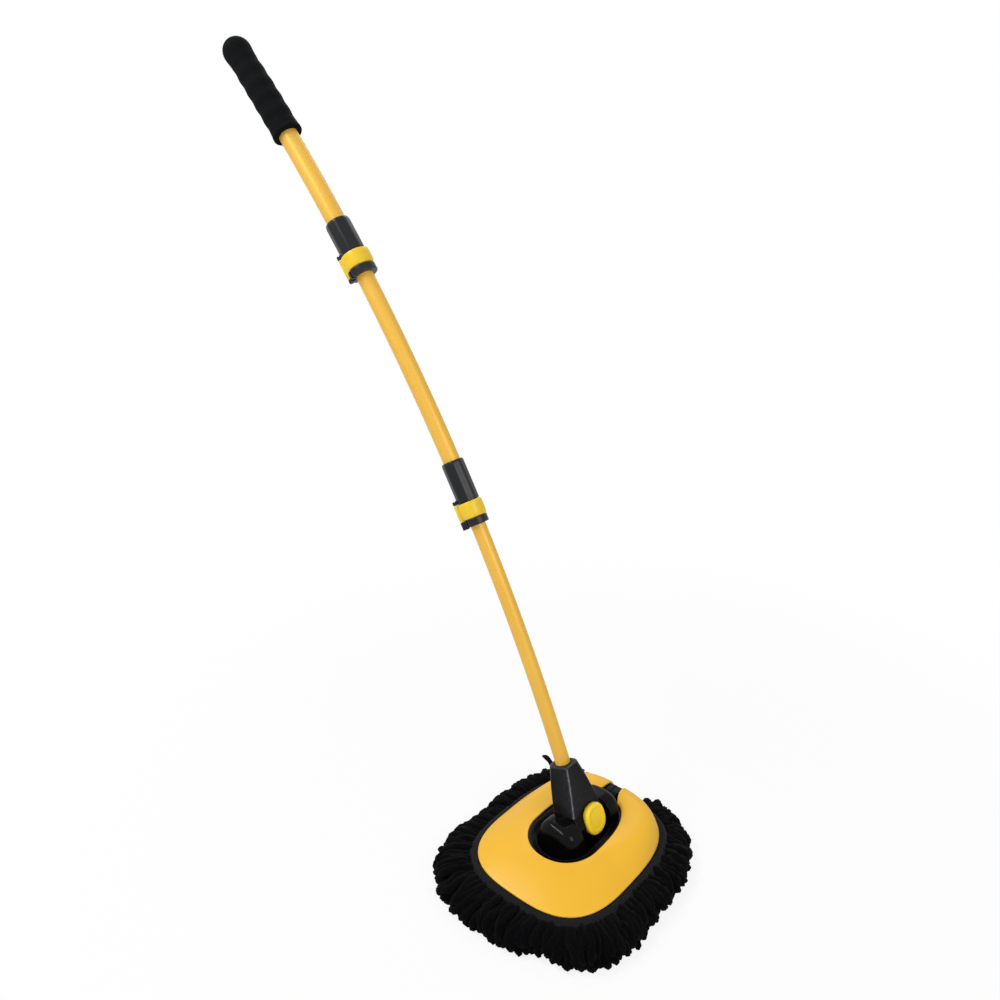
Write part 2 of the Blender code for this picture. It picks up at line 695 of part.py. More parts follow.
def neck_half_width(s):
    """Half the neck's width along the hinge, which narrows from its shoulder to its top."""
    share = min(1.0, max(0.0, (s - NECK_SHOULDER) / (NECK_TOP - NECK_SHOULDER)))
    flare = NECK_FOOT_HALF_WIDTH - NECK_TOP_HALF_WIDTH
    return NECK_TOP_HALF_WIDTH + flare * (1 - share) ** NECK_FLARE_POWER


def neck_ring(s, inset=0.0):
    """A section of the neck, square to the pole."""
    share = max(0.0, s / NECK_TOP)
    half_depth = NECK_HALF_DEPTH + (NECK_TOP_HALF_DEPTH - NECK_HALF_DEPTH) * share
    places = rounded_rectangle(half_depth - inset, neck_half_width(s) - inset, NECK_CORNER)
    return [near_hinge(u, v, s) for u, v in places]


def button_outline(grow, x):
    """The button's oval outline at a depth x, made larger by grow."""
    tall = (BUTTON_HEIGHT / 2 + grow) / (BUTTON_WIDTH / 2 + grow)
    return [Vector((x, LOCK_SIDE + v, BUTTON_LIFT + w * tall))
            for v, w in circle(BUTTON_WIDTH / 2 + grow, BUTTON_SIDES)]


def make_neck_housing(finishes, neck):
    """The black knuckle between the ears, which carries the pole, the button and its lock."""
    rise = NECK_TOP - NECK_SHOULDER
    rings = [neck_ring(0), neck_ring(NECK_SHOULDER)]
    rings += [neck_ring(NECK_SHOULDER + rise * share) for share in NECK_RISE_SHARES]
    rings += [neck_ring(NECK_TOP - NECK_TOP_EDGE), neck_ring(NECK_TOP, NECK_TOP_EDGE)]
    bm = bmesh.new()
    add_loft(bm, rings)
    housing = add_object("neck_housing", bm, finishes["black"], neck)
    bm = bmesh.new()
    half = BARREL_LENGTH / 2
    add_rod(bm, Vector((0, -half, 0)), Vector((0, half, 0)), BARREL_RADIUS, 40)
    combine(housing, add_helper("neck_barrel", bm, neck), "UNION")

    bm = bmesh.new()
    socket = LOWER_TUBE_RADIUS + GAP
    heights = pole_heights(NECK_SOCKET_FLOOR, NECK_TOP + OVERRUN)
    add_loft(bm, [[near_hinge(u, v, s) for u, v in circle(socket, 24)] for s in heights])
    add_rod(bm, Vector((0, -half - OVERRUN, 0)), Vector((0, half + OVERRUN, 0)), PIN_BORE, 16)
    add_loft(bm, [button_outline(CAVITY_GAP, BUTTON_SEAT),
                  button_outline(CAVITY_GAP, BUTTON_FACE + OVERRUN)])
    combine(housing, add_helper("neck_recesses", bm, neck))

    bm = bmesh.new()
    far = YOKE_FAR_REACH + BUTTON_TRAVEL + CAVITY_GAP
    tall = YOKE_HALF_HEIGHT + CAVITY_GAP
    add_box(bm, (-far, LOCK_SIDE - CAVITY_HALF_WIDTH, -tall),
            (BUTTON_SEAT + OVERRUN, LOCK_SIDE + CAVITY_HALF_WIDTH, tall))
    tip, seat = tube_screw_ends()
    add_rod(bm, tip - Vector((0, GAP, 0)), seat + Vector((0, OVERRUN, 0)), SCREW_RADIUS + GAP, 8)
    combine(housing, add_helper("lock_cavity", bm, neck))

    bm = bmesh.new()
    for side in (-1, 1):
        mouth = Vector((BUTTON_SEAT + OVERRUN, LOCK_SIDE + side * SPRING_SIDE, BUTTON_LIFT))
        floor = Vector((SPRING_SEAT, LOCK_SIDE + side * SPRING_SIDE, BUTTON_LIFT))
        add_rod(bm, floor, mouth, SPRING_RADIUS + SPRING_WIRE + CAVITY_GAP, 16)
    add_rod(bm, seat, seat + Vector((0, NECK_FOOT_HALF_WIDTH, 0)), SCREW_HEAD_RADIUS + GAP, 12)
    combine(housing, add_helper("spring_wells", bm, neck))


def tube_screw_ends():
    """Where the cross screw ends, and where its head sits, seen from the hinge."""
    seat = neck_half_width(TUBE_SCREW_HEIGHT) - SCREW_HEAD_HEIGHT - SCREW_RADIUS
    tip = -(LOWER_TUBE_RADIUS + SCREW_RADIUS)
    return near_hinge(0, tip, TUBE_SCREW_HEIGHT), near_hinge(0, seat, TUBE_SCREW_HEIGHT)


def make_tube_screw(finishes, neck):
    """The cross screw that keeps the pole in the neck."""
    tip, seat = tube_screw_ends()
    bm = bmesh.new()
    profile = [(SCREW_RADIUS * SCREW_TIP_SHARE, tip.y), (SCREW_RADIUS, tip.y + SCREW_RADIUS),
               (SCREW_RADIUS, seat.y + GAP), (SCREW_HEAD_RADIUS, seat.y + GAP),
               (SCREW_HEAD_RADIUS, seat.y + GAP + SCREW_HEAD_HEIGHT * SCREW_CROWN_SHARE),
               (SCREW_HEAD_RADIUS * SCREW_CROWN_SHARE, seat.y + GAP + SCREW_HEAD_HEIGHT)]
    add_loft(bm, [[Vector((x, y, z)) for x, z in circle(radius, 8)] for radius, y in profile])
    screw = add_object("tube_screw", bm, finishes["steel"], neck)
    screw.location = (tip.x, 0, tip.z)


def make_button(finishes, slide):
    """The thumb button: a dished oval cap with a socket behind for the yoke's stem."""
    rings = [button_outline(0, BUTTON_BACK), button_outline(0, BUTTON_FACE - BUTTON_EDGE)]
    for i in range(1, BUTTON_EDGE_STEPS + 1):
        angle = QUARTER_TURN * i / BUTTON_EDGE_STEPS
        rings.append(button_outline(-BUTTON_EDGE * (1 - math.cos(angle)),
                                    BUTTON_FACE - BUTTON_EDGE * (1 - math.sin(angle))))
    flat = BUTTON_EDGE + BUTTON_RIM_WIDTH
    rings.append(button_outline(-flat, BUTTON_FACE))
    rings.append(button_outline(-flat - BUTTON_DISH * 2, BUTTON_FACE - BUTTON_DISH))
    bm = bmesh.new()
    add_loft(bm, rings)
    button = add_object("thumb_button", bm, finishes["button"], slide)
    bm = bmesh.new()
    tall = YOKE_STEM_HEIGHT / 2 + GAP
    wide = YOKE_WIDTH / 2 + GAP
    add_box(bm, (BUTTON_BACK - OVERRUN, LOCK_SIDE - wide, -tall),
            (BUTTON_BACK + BUTTON_SOCKET_DEPTH, LOCK_SIDE + wide, tall))
    combine(button, add_helper("button_socket", bm, slide))


def make_yoke(finishes, slide):
    """The lock's yoke: a frame around the wheel, with teeth on its far bar and a stem to the button."""
    near = YOKE_NEAR_FACE + YOKE_BAR
    stem = YOKE_STEM_HEIGHT / 2
    tip = BUTTON_BACK + BUTTON_SOCKET_DEPTH - GAP
    tall = YOKE_HALF_HEIGHT
    flat = LOCK_SIDE - YOKE_WIDTH / 2
    outline = [(-YOKE_FAR_REACH, -tall), (near, -tall), (near, -stem), (tip, -stem), (tip, stem),
               (near, stem), (near, tall), (-YOKE_FAR_REACH, tall)]
    bm = bmesh.new()
    add_prism(bm, [Vector((x, flat, z)) for x, z in outline], Vector((0, YOKE_WIDTH, 0)))
    yoke = add_object("lock_yoke", bm, finishes["guide"], slide)

    window = YOKE_HALF_HEIGHT - YOKE_BAR
    reach = WHEEL_RADIUS + YOKE_TOOTH_GAP
    outline = [Vector((YOKE_NEAR_FACE, 0, -window)), Vector((YOKE_NEAR_FACE, 0, window))]
    pitch = FULL_TURN / WHEEL_TEETH / TOOTH_POINTS
    teeth = []
    for i in range(YOKE_TEETH * TOOTH_POINTS + 1):
        angle = pitch * (YOKE_TEETH * TOOTH_POINTS / 2 - i)
        radius = reach if i % TOOTH_POINTS in TOOTH_TOP_POINTS else reach + WHEEL_TOOTH
        teeth.append(Vector((-radius * math.cos(angle), 0, radius * math.sin(angle))))
    outline.append(Vector((teeth[0].x, 0, window)))
    outline += teeth
    outline.append(Vector((teeth[-1].x, 0, -window)))
    bm = bmesh.new()
    back = Vector((0, flat - OVERRUN, 0))
    add_prism(bm, [place + back for place in outline], Vector((0, YOKE_WIDTH + 2 * OVERRUN, 0)))
    combine(yoke, add_helper("yoke_window", bm, slide))


def make_button_springs(finishes, neck):
    """Two coil springs behind the button. Prints the least gap between one coil's curls."""
    start = SPRING_SEAT + GAP + SPRING_WIRE
    end = BUTTON_BACK - GAP - SPRING_WIRE
    count = SPRING_TURNS * SPRING_POINTS + 1
    places = []
    for i in range(count):
        angle = FULL_TURN * i / SPRING_POINTS
        places.append(Vector((start + (end - start) * i / (count - 1), SPRING_RADIUS * math.cos(angle),
                              SPRING_RADIUS * math.sin(angle))))
    gaps = [(a - b).length for i, a in enumerate(places) for b in places[i + SPRING_POINTS // 2 + 1:]]
    print("button spring, least gap between curls in mm:",
          round((min(gaps) - 2 * SPRING_WIRE) * 1000, 2))
    for name, side in (("button_spring_front", -1), ("button_spring_rear", 1)):
        wire = bpy.data.curves.new(name, "CURVE")
        wire.dimensions = "3D"
        wire.bevel_depth = SPRING_WIRE
        wire.bevel_resolution = 1
        wire.use_fill_caps = True
        path = wire.splines.new("POLY")
        path.points.add(count - 1)
        for point, place in zip(path.points, places):
            point.co = (*place, 1.0)
        wire.materials.append(finishes["steel"])
        spring = bpy.data.objects.new(name, wire)
        bpy.context.scene.collection.objects.link(spring)
        spring.parent = neck
        spring.location = (0, LOCK_SIDE + side * SPRING_SIDE, BUTTON_LIFT)


# Pole

def make_tube(name, radius, low, high, finish, parent):
    """One bent tube of the pole, open at both ends."""
    heights = pole_heights(low, high)
    rings = [pole_ring(radius, s, TUBE_SIDES) for s in heights]
    rings += [pole_ring(radius - TUBE_WALL, s, TUBE_SIDES) for s in heights[::-1]]
    bm = bmesh.new()
    add_loft(bm, rings, closed=True)
    return add_object(name, bm, finish, parent)


def make_guide(name, tube_radius, tube_top, outer_bore, finish, parent):
    """The plastic guide in the top of a tube, which runs inside the next tube."""
    spigot = tube_radius - TUBE_WALL - GAP
    flange = outer_bore - GAP
    bore = spigot - GUIDE_WALL
    low = tube_top - GUIDE_SPIGOT
    seat = tube_top + GAP
    top = seat + GUIDE_LENGTH
    profile = [(spigot, low), (spigot, seat), (flange, seat), (flange, top), (bore, top), (bore, low)]
    bm = bmesh.new()
    add_loft(bm, [pole_ring(radius, s, 16) for radius, s in profile], closed=True)
    add_object(name, bm, finish, parent)


def make_end_plug(finishes, upper):
    """The plug that closes the upper tube under the grip."""
    spigot = UPPER_TUBE_RADIUS - TUBE_WALL - GAP
    seat = UPPER_TUBE_TOP + GAP
    profile = [(spigot, UPPER_TUBE_TOP - GUIDE_SPIGOT), (spigot, seat), (UPPER_TUBE_RADIUS, seat),
               (UPPER_TUBE_RADIUS, seat + END_PLUG_FLANGE)]
    bm = bmesh.new()
    add_loft(bm, [pole_ring(radius, s, 16) for radius, s in profile])
    add_object("upper_tube_plug", bm, finishes["black"], upper)


@dataclass(frozen=True)
class Clamp:
    """A lever clamp: a sleeve on the outer tube with a split collar around the inner one."""

    name: str
    base: float
    inner_radius: float
    outer_radius: float
    sleeve_radius: float
    lever_radius: float
    sleeve_length: float

    @property
    def collar_radius(self):
        """Outside of the thin collar that the lever closes on."""
        return self.inner_radius + GAP + COLLAR_WALL

    @property
    def ring_top(self):
        """Height of the face below the lever."""
        return self.base + CLAMP_RING_LENGTH

    @property
    def sleeve_base(self):
        """Height of the face above the lever."""
        return self.ring_top + LEVER_LENGTH + 2 * LEVER_END_GAP

    @property
    def tube_base(self):
        """Height of the outer tube's lower end, on its seat in the sleeve."""
        return self.sleeve_base + TUBE_SEAT_DEPTH + GAP

    @property
    def knuckle(self):
        """Radius of the lever's round end about its pin."""
        return CLAMP_PIN_RADIUS + GAP + KNUCKLE_MARGIN

    @property
    def pin_offset(self):
        """Distance of the lever's pin from the middle of the pole."""
        return self.collar_radius + LEVER_CLEARANCE + self.knuckle

    def around(self, radius, angle, s):
        """A place beside the pole, at an angle from the clamp's front."""
        return on_pole(radius * math.cos(angle + CLAMP_TURN), radius * math.sin(angle + CLAMP_TURN), s)

    def section(self, radius, s, flute=0.0):
        """A ring around the pole, with shallow flutes if asked."""
        ring = []
        for i in range(CLAMP_SIDES):
            angle = FULL_TURN * i / CLAMP_SIDES
            dip = flute * (1 - math.cos(FLUTES * angle)) / 2
            ring.append(self.around(radius - dip, angle, s))
        return ring

    def lug(self, bm, low, high):
        """A tab beside the collar that holds one end of the lever's pin."""
        start = self.collar_radius - COLLAR_WALL / 2
        places = [(-self.knuckle, -start), (self.knuckle, -start)]
        for i in range(LUG_STEPS + 1):
            angle = -math.pi * i / LUG_STEPS
            places.append((self.knuckle * math.cos(angle),
                           self.knuckle * math.sin(angle) - self.pin_offset))
        rings = []
        for s in (low, high):
            turned = [Matrix.Rotation(CLAMP_TURN, 2) @ Vector(p) for p in places]
            rings.append([on_pole(p.x, p.y, s) for p in turned])
        add_loft(bm, rings)

    def pin_frame(self):
        """The place and turn of the lever's pin, half way up the lever."""
        middle = (self.ring_top + self.sleeve_base) / 2
        return (Matrix.Translation(on_pole(0, 0, middle))
                @ Matrix.Rotation(-middle / POLE_BEND_RADIUS, 4, "Y")
                @ Matrix.Rotation(CLAMP_TURN, 4, "Z")
                @ Matrix.Translation((0, -self.pin_offset, 0)))

    def make_sleeve(self, finishes, parent):
        """The sleeve, its fluted top, thin collar and lower ring in one piece."""
        ring = self.lever_radius
        top = self.sleeve_base + self.sleeve_length
        middle = (self.sleeve_base + top) / 2
        bore = self.inner_radius + GAP
        wide_bore = self.outer_radius + GAP
        seat = self.sleeve_base + TUBE_SEAT_DEPTH
        rings = [self.section(ring - CLAMP_EDGE, self.base), self.section(ring, self.base + CLAMP_EDGE),
                 self.section(ring, self.ring_top), self.section(self.collar_radius, self.ring_top),
                 self.section(self.collar_radius, self.sleeve_base)]
        rings += [self.section(self.sleeve_radius, s, FLUTE_DEPTH)
                  for s in (self.sleeve_base, middle, top - CLAMP_EDGE)]
        rings += [self.section(self.sleeve_radius - CLAMP_EDGE, top)]
        rings += [self.section(wide_bore, s) for s in (top, middle, seat)]
        rings += [self.section(bore, s) for s in (seat, self.ring_top, self.base)]
        bm = bmesh.new()
        add_loft(bm, rings, closed=True)
        sleeve = add_object(f"{self.name}_clamp_sleeve", bm, finishes["black"], parent)

        bm = bmesh.new()
        self.lug(bm, self.ring_top - CLAMP_LUG_HEIGHT, self.ring_top - GAP)
        self.lug(bm, self.sleeve_base + GAP, self.sleeve_base + CLAMP_LUG_HEIGHT)
        combine(sleeve, add_helper(f"{self.name}_clamp_lugs", bm, parent), "UNION")

        frame = self.pin_frame()
        reach = LEVER_LENGTH / 2 + LEVER_END_GAP + CLAMP_LUG_HEIGHT + OVERRUN
        bm = bmesh.new()
        add_rod(bm, frame @ Vector((0, 0, -reach)), frame @ Vector((0, 0, reach)),
                CLAMP_PIN_RADIUS + GAP, 10)
        half = CLAMP_SPLIT_WIDTH / 2
        slot = [(self.inner_radius - OVERRUN, -half), (ring + OVERRUN, -half),
                (ring + OVERRUN, half), (self.inner_radius - OVERRUN, half)]
        turn = Matrix.Rotation(CLAMP_TURN + CLAMP_SPLIT_TURN, 2)
        turned = [turn @ Vector(p) for p in slot]
        add_loft(bm, [[on_pole(p.x, p.y, s) for p in turned]
                      for s in (self.base - OVERRUN, self.sleeve_base - CLAMP_SPLIT_WIDTH)])
        combine(sleeve, add_helper(f"{self.name}_clamp_cuts", bm, parent))
        seat = LEVER_LENGTH / 2 + LEVER_END_GAP + CLAMP_LUG_HEIGHT
        bm = bmesh.new()
        add_rod(bm, frame @ Vector((0, 0, seat)),
                frame @ Vector((0, 0, seat + CLAMP_PIN_HEAD_HEIGHT + OVERRUN)), CLAMP_PIN_HEAD + GAP, 12)
        combine(sleeve, add_helper(f"{self.name}_pin_head_notch", bm, parent))

    def make_pin(self, finishes, parent):
        """The lever's steel pin, with its head on top."""
        reach = LEVER_LENGTH / 2 + LEVER_END_GAP + CLAMP_LUG_HEIGHT
        profile = [(CLAMP_PIN_RADIUS, -reach), (CLAMP_PIN_RADIUS, reach + GAP),
                   (CLAMP_PIN_HEAD, reach + GAP), (CLAMP_PIN_HEAD, reach + CLAMP_PIN_HEAD_HEIGHT / 2),
                   (CLAMP_PIN_HEAD / 2, reach + CLAMP_PIN_HEAD_HEIGHT)]
        bm = bmesh.new()
        add_loft(bm, [[Vector((x, y, z)) for x, y in circle(radius, 12)] for radius, z in profile])
        pin = add_object(f"{self.name}_clamp_pin", bm, finishes["steel"], parent)
        pin.matrix_basis = self.pin_frame()

    def make_lever(self, finishes, axis):
        """The lemon lever: a crowned band around the collar, with a lip and a round end on its pin."""
        inside = self.collar_radius + LEVER_CLEARANCE
        half = LEVER_LENGTH / 2
        rings = []
        for i in range(LEVER_STEPS + 1):
            angle = LEVER_SWEEP * (i / LEVER_STEPS - 0.5)
            lift = LEVER_LIP * max(0, i - LEVER_STEPS + LEVER_LIP_STEPS) / LEVER_LIP_STEPS
            outside = self.lever_radius + lift
            section = [(inside + lift, -half), (outside - LEVER_CROWN, -half), (outside, -half / 2),
                       (outside, half / 2), (outside - LEVER_CROWN, half), (inside + lift, half)]
            rings.append([Vector((r * math.cos(angle), self.pin_offset + r * math.sin(angle), z))
                          for r, z in section])
        bm = bmesh.new()
        add_loft(bm, rings)
        lever = add_object(f"{self.name}_clamp_lever", bm, finishes["lever"], axis)
        bm = bmesh.new()
        add_rod(bm, Vector((0, 0, -half)), Vector((0, 0, half)), self.knuckle, 20)
        combine(lever, add_helper(f"{self.name}_lever_barrel", bm, axis), "UNION")
        bm = bmesh.new()
        add_rod(bm, Vector((0, 0, -half - OVERRUN)), Vector((0, 0, half + OVERRUN)),
                CLAMP_PIN_RADIUS + GAP, 10)
        combine(lever, add_helper(f"{self.name}_lever_bore", bm, axis))


LOWER_CLAMP = Clamp("lower", LOWER_CLAMP_BASE, LOWER_TUBE_RADIUS, MIDDLE_TUBE_RADIUS,
                    LOWER_SLEEVE_RADIUS, LOWER_LEVER_RADIUS, LOWER_SLEEVE_LENGTH)
UPPER_CLAMP = Clamp("upper", UPPER_CLAMP_BASE, MIDDLE_TUBE_RADIUS, UPPER_TUBE_RADIUS,
                    UPPER_SLEEVE_RADIUS, UPPER_LEVER_RADIUS, UPPER_SLEEVE_LENGTH)


def grip_profile():
    """Radius and height of the grip's outside, from its flared lip to the top of its dome."""
    bulb_base = GRIP_TOP - GRIP_BULB_LENGTH
    body_base = GRIP_BASE + GRIP_LIP_LENGTH
    profile = [(GRIP_LIP_RADIUS - GRIP_EDGE, GRIP_BASE), (GRIP_LIP_RADIUS, GRIP_BASE + GRIP_EDGE),
               (GRIP_LIP_RADIUS, body_base - GRIP_EDGE)]
    count = GRIP_WAVES * GRIP_WAVE_STEPS
    for i in range(count + 1):
        share = i / count
        wave = GRIP_WAVE * math.cos(FULL_TURN * GRIP_WAVES * share)
        waist = GRIP_WAIST * share ** GRIP_WAIST_POWER
        profile.append((GRIP_RADIUS - waist + wave, body_base + (bulb_base - body_base) * share))
    dome_base = GRIP_TOP - GRIP_BULB_RADIUS
    profile.append((GRIP_BULB_RADIUS, (bulb_base + dome_base) / 2))
    for i in range(GRIP_DOME_STEPS):
        angle = QUARTER_TURN * i / GRIP_DOME_STEPS
        profile.append((GRIP_BULB_RADIUS * math.cos(angle), dome_base + GRIP_BULB_RADIUS * math.sin(angle)))
    profile.append((GRIP_EDGE, GRIP_TOP))
    return profile


def make_grip(finishes, upper):
    """The foam grip: a waved sleeve with a domed end, pushed over the upper tube."""
    bore = UPPER_TUBE_RADIUS + GAP
    heights = pole_heights(GRIP_BASE, GRIP_TOP - GRIP_CEILING)
    rings = [pole_ring(bore, s, GRIP_SIDES) for s in heights[::-1]]
    rings += [pole_ring(radius, s, GRIP_SIDES) for radius, s in grip_profile()]
    bm = bmesh.new()
    add_loft(bm, rings)
    add_object("foam_grip", bm, finishes["foam"], upper)


# Mop

def make_pad(finishes):
    """The flat pad under the base plate, with a rounded lower edge."""
    top = PLATE_BOTTOM_Z - GAP
    rings = []
    for i in range(PAD_EDGE_STEPS + 1):
        angle = QUARTER_TURN * i / PAD_EDGE_STEPS
        grow = -PAD_INSET - PAD_EDGE * (1 - math.sin(angle))
        rings.append(COVER_OVAL.loop(HEAD_COLUMNS, grow, PAD_EDGE * (1 - math.cos(angle))))
    rings.append(COVER_OVAL.loop(HEAD_COLUMNS, -PAD_INSET, top))
    bm = bmesh.new()
    add_loft(bm, rings)
    add_object("mop_pad", bm, finishes["pile"])


def make_hem(finishes):
    """The grey binding that shows as a band around the cover."""
    tuck = PLATE_TOP_Z + GAP
    crest = COVER_EDGE_Z - COVER_WALL - GAP
    upper = [(-HEM_TUCK, tuck + HEM_THICKNESS), (0, crest), (HEM_REACH / 2, crest - HEM_DROP / 3),
             (HEM_REACH, crest - HEM_DROP)]
    lower = [(grow, z - HEM_THICKNESS) for grow, z in upper]
    bm = bmesh.new()
    add_loft(bm, [COVER_OVAL.loop(HEAD_COLUMNS, grow, z) for grow, z in upper + lower[::-1]], closed=True)
    add_object("mop_hem", bm, finishes["hem"])


def strand_rings(angle, row, sway):
    """The small triangles that a strand is skinned over: root and tip, with a knee in the top row."""
    wall = -PAD_INSET + GAP + BACKING_WIDTH
    root = COVER_OVAL.point(angle, wall - BACKING_WIDTH * STRAND_ROOT_SHARE, STRAND_TOP_Z)
    root.z -= STRAND_ROW_PITCH * row
    out = COVER_OVAL.outward(angle, wall)
    aside = Vector((-out.y, out.x, 0))
    up = Vector((0, 0, 1))
    level = 1 - row / max(1, STRAND_ROWS - 1)
    lift = STRAND_LIFT * level
    droop = STRAND_DROOP * (1 + level)
    knee = root + out * STRAND_LENGTH * STRAND_KNEE_SHARE + up * lift
    tip = root + out * STRAND_LENGTH - up * droop + aside * STRAND_SWAY * sway
    knee_radius = (STRAND_RADIUS + STRAND_TIP_RADIUS) / 2
    stations = [(root, STRAND_RADIUS), (knee, knee_radius), (tip, STRAND_TIP_RADIUS)]
    if row > 0:
        stations.pop(1)
    rings = []
    for place, radius in stations:
        rings.append([place + aside * radius * math.cos(a) + up * radius * math.sin(a)
                      for a in STRAND_CORNER_TURNS])
    return rings


def make_fringe(finishes, name, middle):
    """A quarter of the fringe: a slice of its backing with rows of strands grown from it."""
    inner = -PAD_INSET + GAP
    outer = inner + BACKING_WIDTH
    trim = SECTOR_GAP / 2 / COVER_HALF_WIDTH
    first = middle - QUARTER_TURN / 2 + trim
    last = middle + QUARTER_TURN / 2 - trim
    rings = []
    for i in range(BACKING_STEPS + 1):
        angle = first + (last - first) * i / BACKING_STEPS
        rings.append([COVER_OVAL.point(angle, inner, BACKING_BOTTOM_Z),
                      COVER_OVAL.point(angle, outer, BACKING_BOTTOM_Z),
                      COVER_OVAL.point(angle, outer, BACKING_TOP_Z),
                      COVER_OVAL.point(angle, inner, BACKING_TOP_Z)])
    bm = bmesh.new()
    add_loft(bm, rings)
    fringe = add_object(name, bm, finishes["pile"])
    bm = bmesh.new()
    for row in range(STRAND_ROWS):
        angles = COVER_OVAL.even_angles(STRANDS_PER_ROW // 4, first, last, outer)
        for i, angle in enumerate(angles):
            add_loft(bm, strand_rings(angle, row, (-1) ** (row + i // 2)))
    combine(fringe, add_helper(f"{name}_strands", bm), "UNION")


def main():
    """Build the whole mop."""
    clear_scene()
    finishes = make_materials()

    make_base_plate(finishes)
    make_head_cover(finishes)
    make_cover_screws(finishes)
    make_hinge_pin(finishes)
    make_pad(finishes)
    make_hem(finishes)
    for index, side in enumerate(("right", "rear", "left", "front")):
        make_fringe(finishes, f"fringe_{side}", QUARTER_TURN * index)

    neck = add_empty("neck_axis", None, Matrix.Translation((0, HUB_Y, PIVOT_Z))
                     @ Matrix.Rotation(-POLE_LEAN, 4, "Y"))
    make_neck_housing(finishes, neck)
    make_tube_screw(finishes, neck)
    make_button_springs(finishes, neck)
    slide = add_empty("button_slide", neck)
    make_button(finishes, slide)
    make_yoke(finishes, slide)

    bend = Matrix.Translation((-POLE_BEND_RADIUS, 0, 0))
    lower = add_empty("lower_pole", neck, bend)
    middle = add_empty("middle_pole", neck, bend)
    upper = add_empty("upper_pole", middle)

    tube = make_tube("lower_tube", LOWER_TUBE_RADIUS, NECK_SOCKET_FLOOR + GAP, LOWER_TUBE_TOP,
                     finishes["tube"], lower)
    tip, seat = tube_screw_ends()
    shift = Vector((POLE_BEND_RADIUS, 0, 0))
    bm = bmesh.new()
    add_rod(bm, tip + shift, seat + shift, SCREW_RADIUS + GAP, 8)
    combine(tube, add_helper("tube_screw_hole", bm, lower))
    make_guide("lower_tube_guide", LOWER_TUBE_RADIUS, LOWER_TUBE_TOP, MIDDLE_TUBE_RADIUS - TUBE_WALL,
               finishes["guide"], lower)

    make_tube("middle_tube", MIDDLE_TUBE_RADIUS, LOWER_CLAMP.tube_base, MIDDLE_TUBE_TOP,
              finishes["tube"], middle)
    make_guide("middle_tube_guide", MIDDLE_TUBE_RADIUS, MIDDLE_TUBE_TOP, UPPER_TUBE_RADIUS - TUBE_WALL,
               finishes["guide"], middle)
    make_tube("upper_tube", UPPER_TUBE_RADIUS, UPPER_CLAMP.tube_base, UPPER_TUBE_TOP,
              finishes["tube"], upper)
    make_end_plug(finishes, upper)
    make_grip(finishes, upper)
    for clamp, carrier in ((LOWER_CLAMP, middle), (UPPER_CLAMP, upper)):
        clamp.make_sleeve(finishes, carrier)
        clamp.make_pin(finishes, carrier)
        axis = add_empty(f"{clamp.name}_lever_axis", carrier, clamp.pin_frame())
        clamp.make_lever(finishes, axis)


main()
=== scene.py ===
"""The looks of a car wash mop on a bent telescopic pole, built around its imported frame.

All places are in metres in the frame's own axes: +Z up, the head's hinge along Y, the pole leaning
towards -X. Shapes are worked out with numpy as functions of two parameters, one class for each
sub-assembly, and every finish is made of shader nodes.
"""

import logging
import math
from dataclasses import dataclass
from enum import Enum
from typing import Mapping, Sequence

import bmesh
import bpy
import numpy as np
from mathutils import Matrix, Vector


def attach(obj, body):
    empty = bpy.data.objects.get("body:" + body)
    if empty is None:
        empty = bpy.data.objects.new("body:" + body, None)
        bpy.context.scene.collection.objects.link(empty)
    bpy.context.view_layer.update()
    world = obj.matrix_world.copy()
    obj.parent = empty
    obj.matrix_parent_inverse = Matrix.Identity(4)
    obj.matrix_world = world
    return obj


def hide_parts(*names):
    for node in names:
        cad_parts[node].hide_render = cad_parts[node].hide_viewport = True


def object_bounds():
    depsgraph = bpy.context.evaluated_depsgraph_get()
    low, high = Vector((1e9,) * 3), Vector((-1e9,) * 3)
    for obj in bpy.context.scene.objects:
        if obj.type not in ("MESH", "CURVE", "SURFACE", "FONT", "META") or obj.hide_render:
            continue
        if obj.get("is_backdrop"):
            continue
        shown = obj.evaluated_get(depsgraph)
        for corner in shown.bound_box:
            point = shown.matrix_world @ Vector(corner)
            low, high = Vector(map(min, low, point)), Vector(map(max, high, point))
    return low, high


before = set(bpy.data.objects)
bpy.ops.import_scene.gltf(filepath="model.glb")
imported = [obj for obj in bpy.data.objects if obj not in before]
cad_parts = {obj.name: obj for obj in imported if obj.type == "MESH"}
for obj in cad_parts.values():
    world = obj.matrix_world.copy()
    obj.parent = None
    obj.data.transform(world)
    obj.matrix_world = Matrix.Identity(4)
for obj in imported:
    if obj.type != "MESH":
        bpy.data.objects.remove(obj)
cad_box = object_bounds()

LOG = logging.getLogger("mop")
Array = np.ndarray
Material = bpy.types.Material
Object = bpy.types.Object
Triple = tuple[float, float, float]
Colour = Triple
TURN = 2 * math.pi
QUARTER = math.pi / 2

# How a colour as the eye reads it becomes a share of light
EYE_FULL = 255
EYE_KNEE = 0.04045
EYE_SLOPE = 12.92
EYE_OFFSET = 0.055
EYE_POWER = 2.4


class Body(Enum):
    """The bodies that pieces ride on."""

    HEAD = "mop_head"
    NECK = "neck"
    BUTTON = "button"
    MIDDLE = "middle_pole"
    LOWER_LEVER = "lower_lever"
    UPPER = "upper_pole"
    UPPER_LEVER = "upper_lever"


class Slot(Enum):
    """The record's material slots."""

    COVER = "cover_plastic"
    LEVER = "lever_plastic"
    BUTTON = "button_plastic"
    TUBE = "tube_paint"
    BLACK = "black_plastic"
    GREY = "grey_plastic"
    FOAM = "foam"
    PILE = "pile"
    BINDING = "binding"
    STEEL = "steel"


# Shader nodes

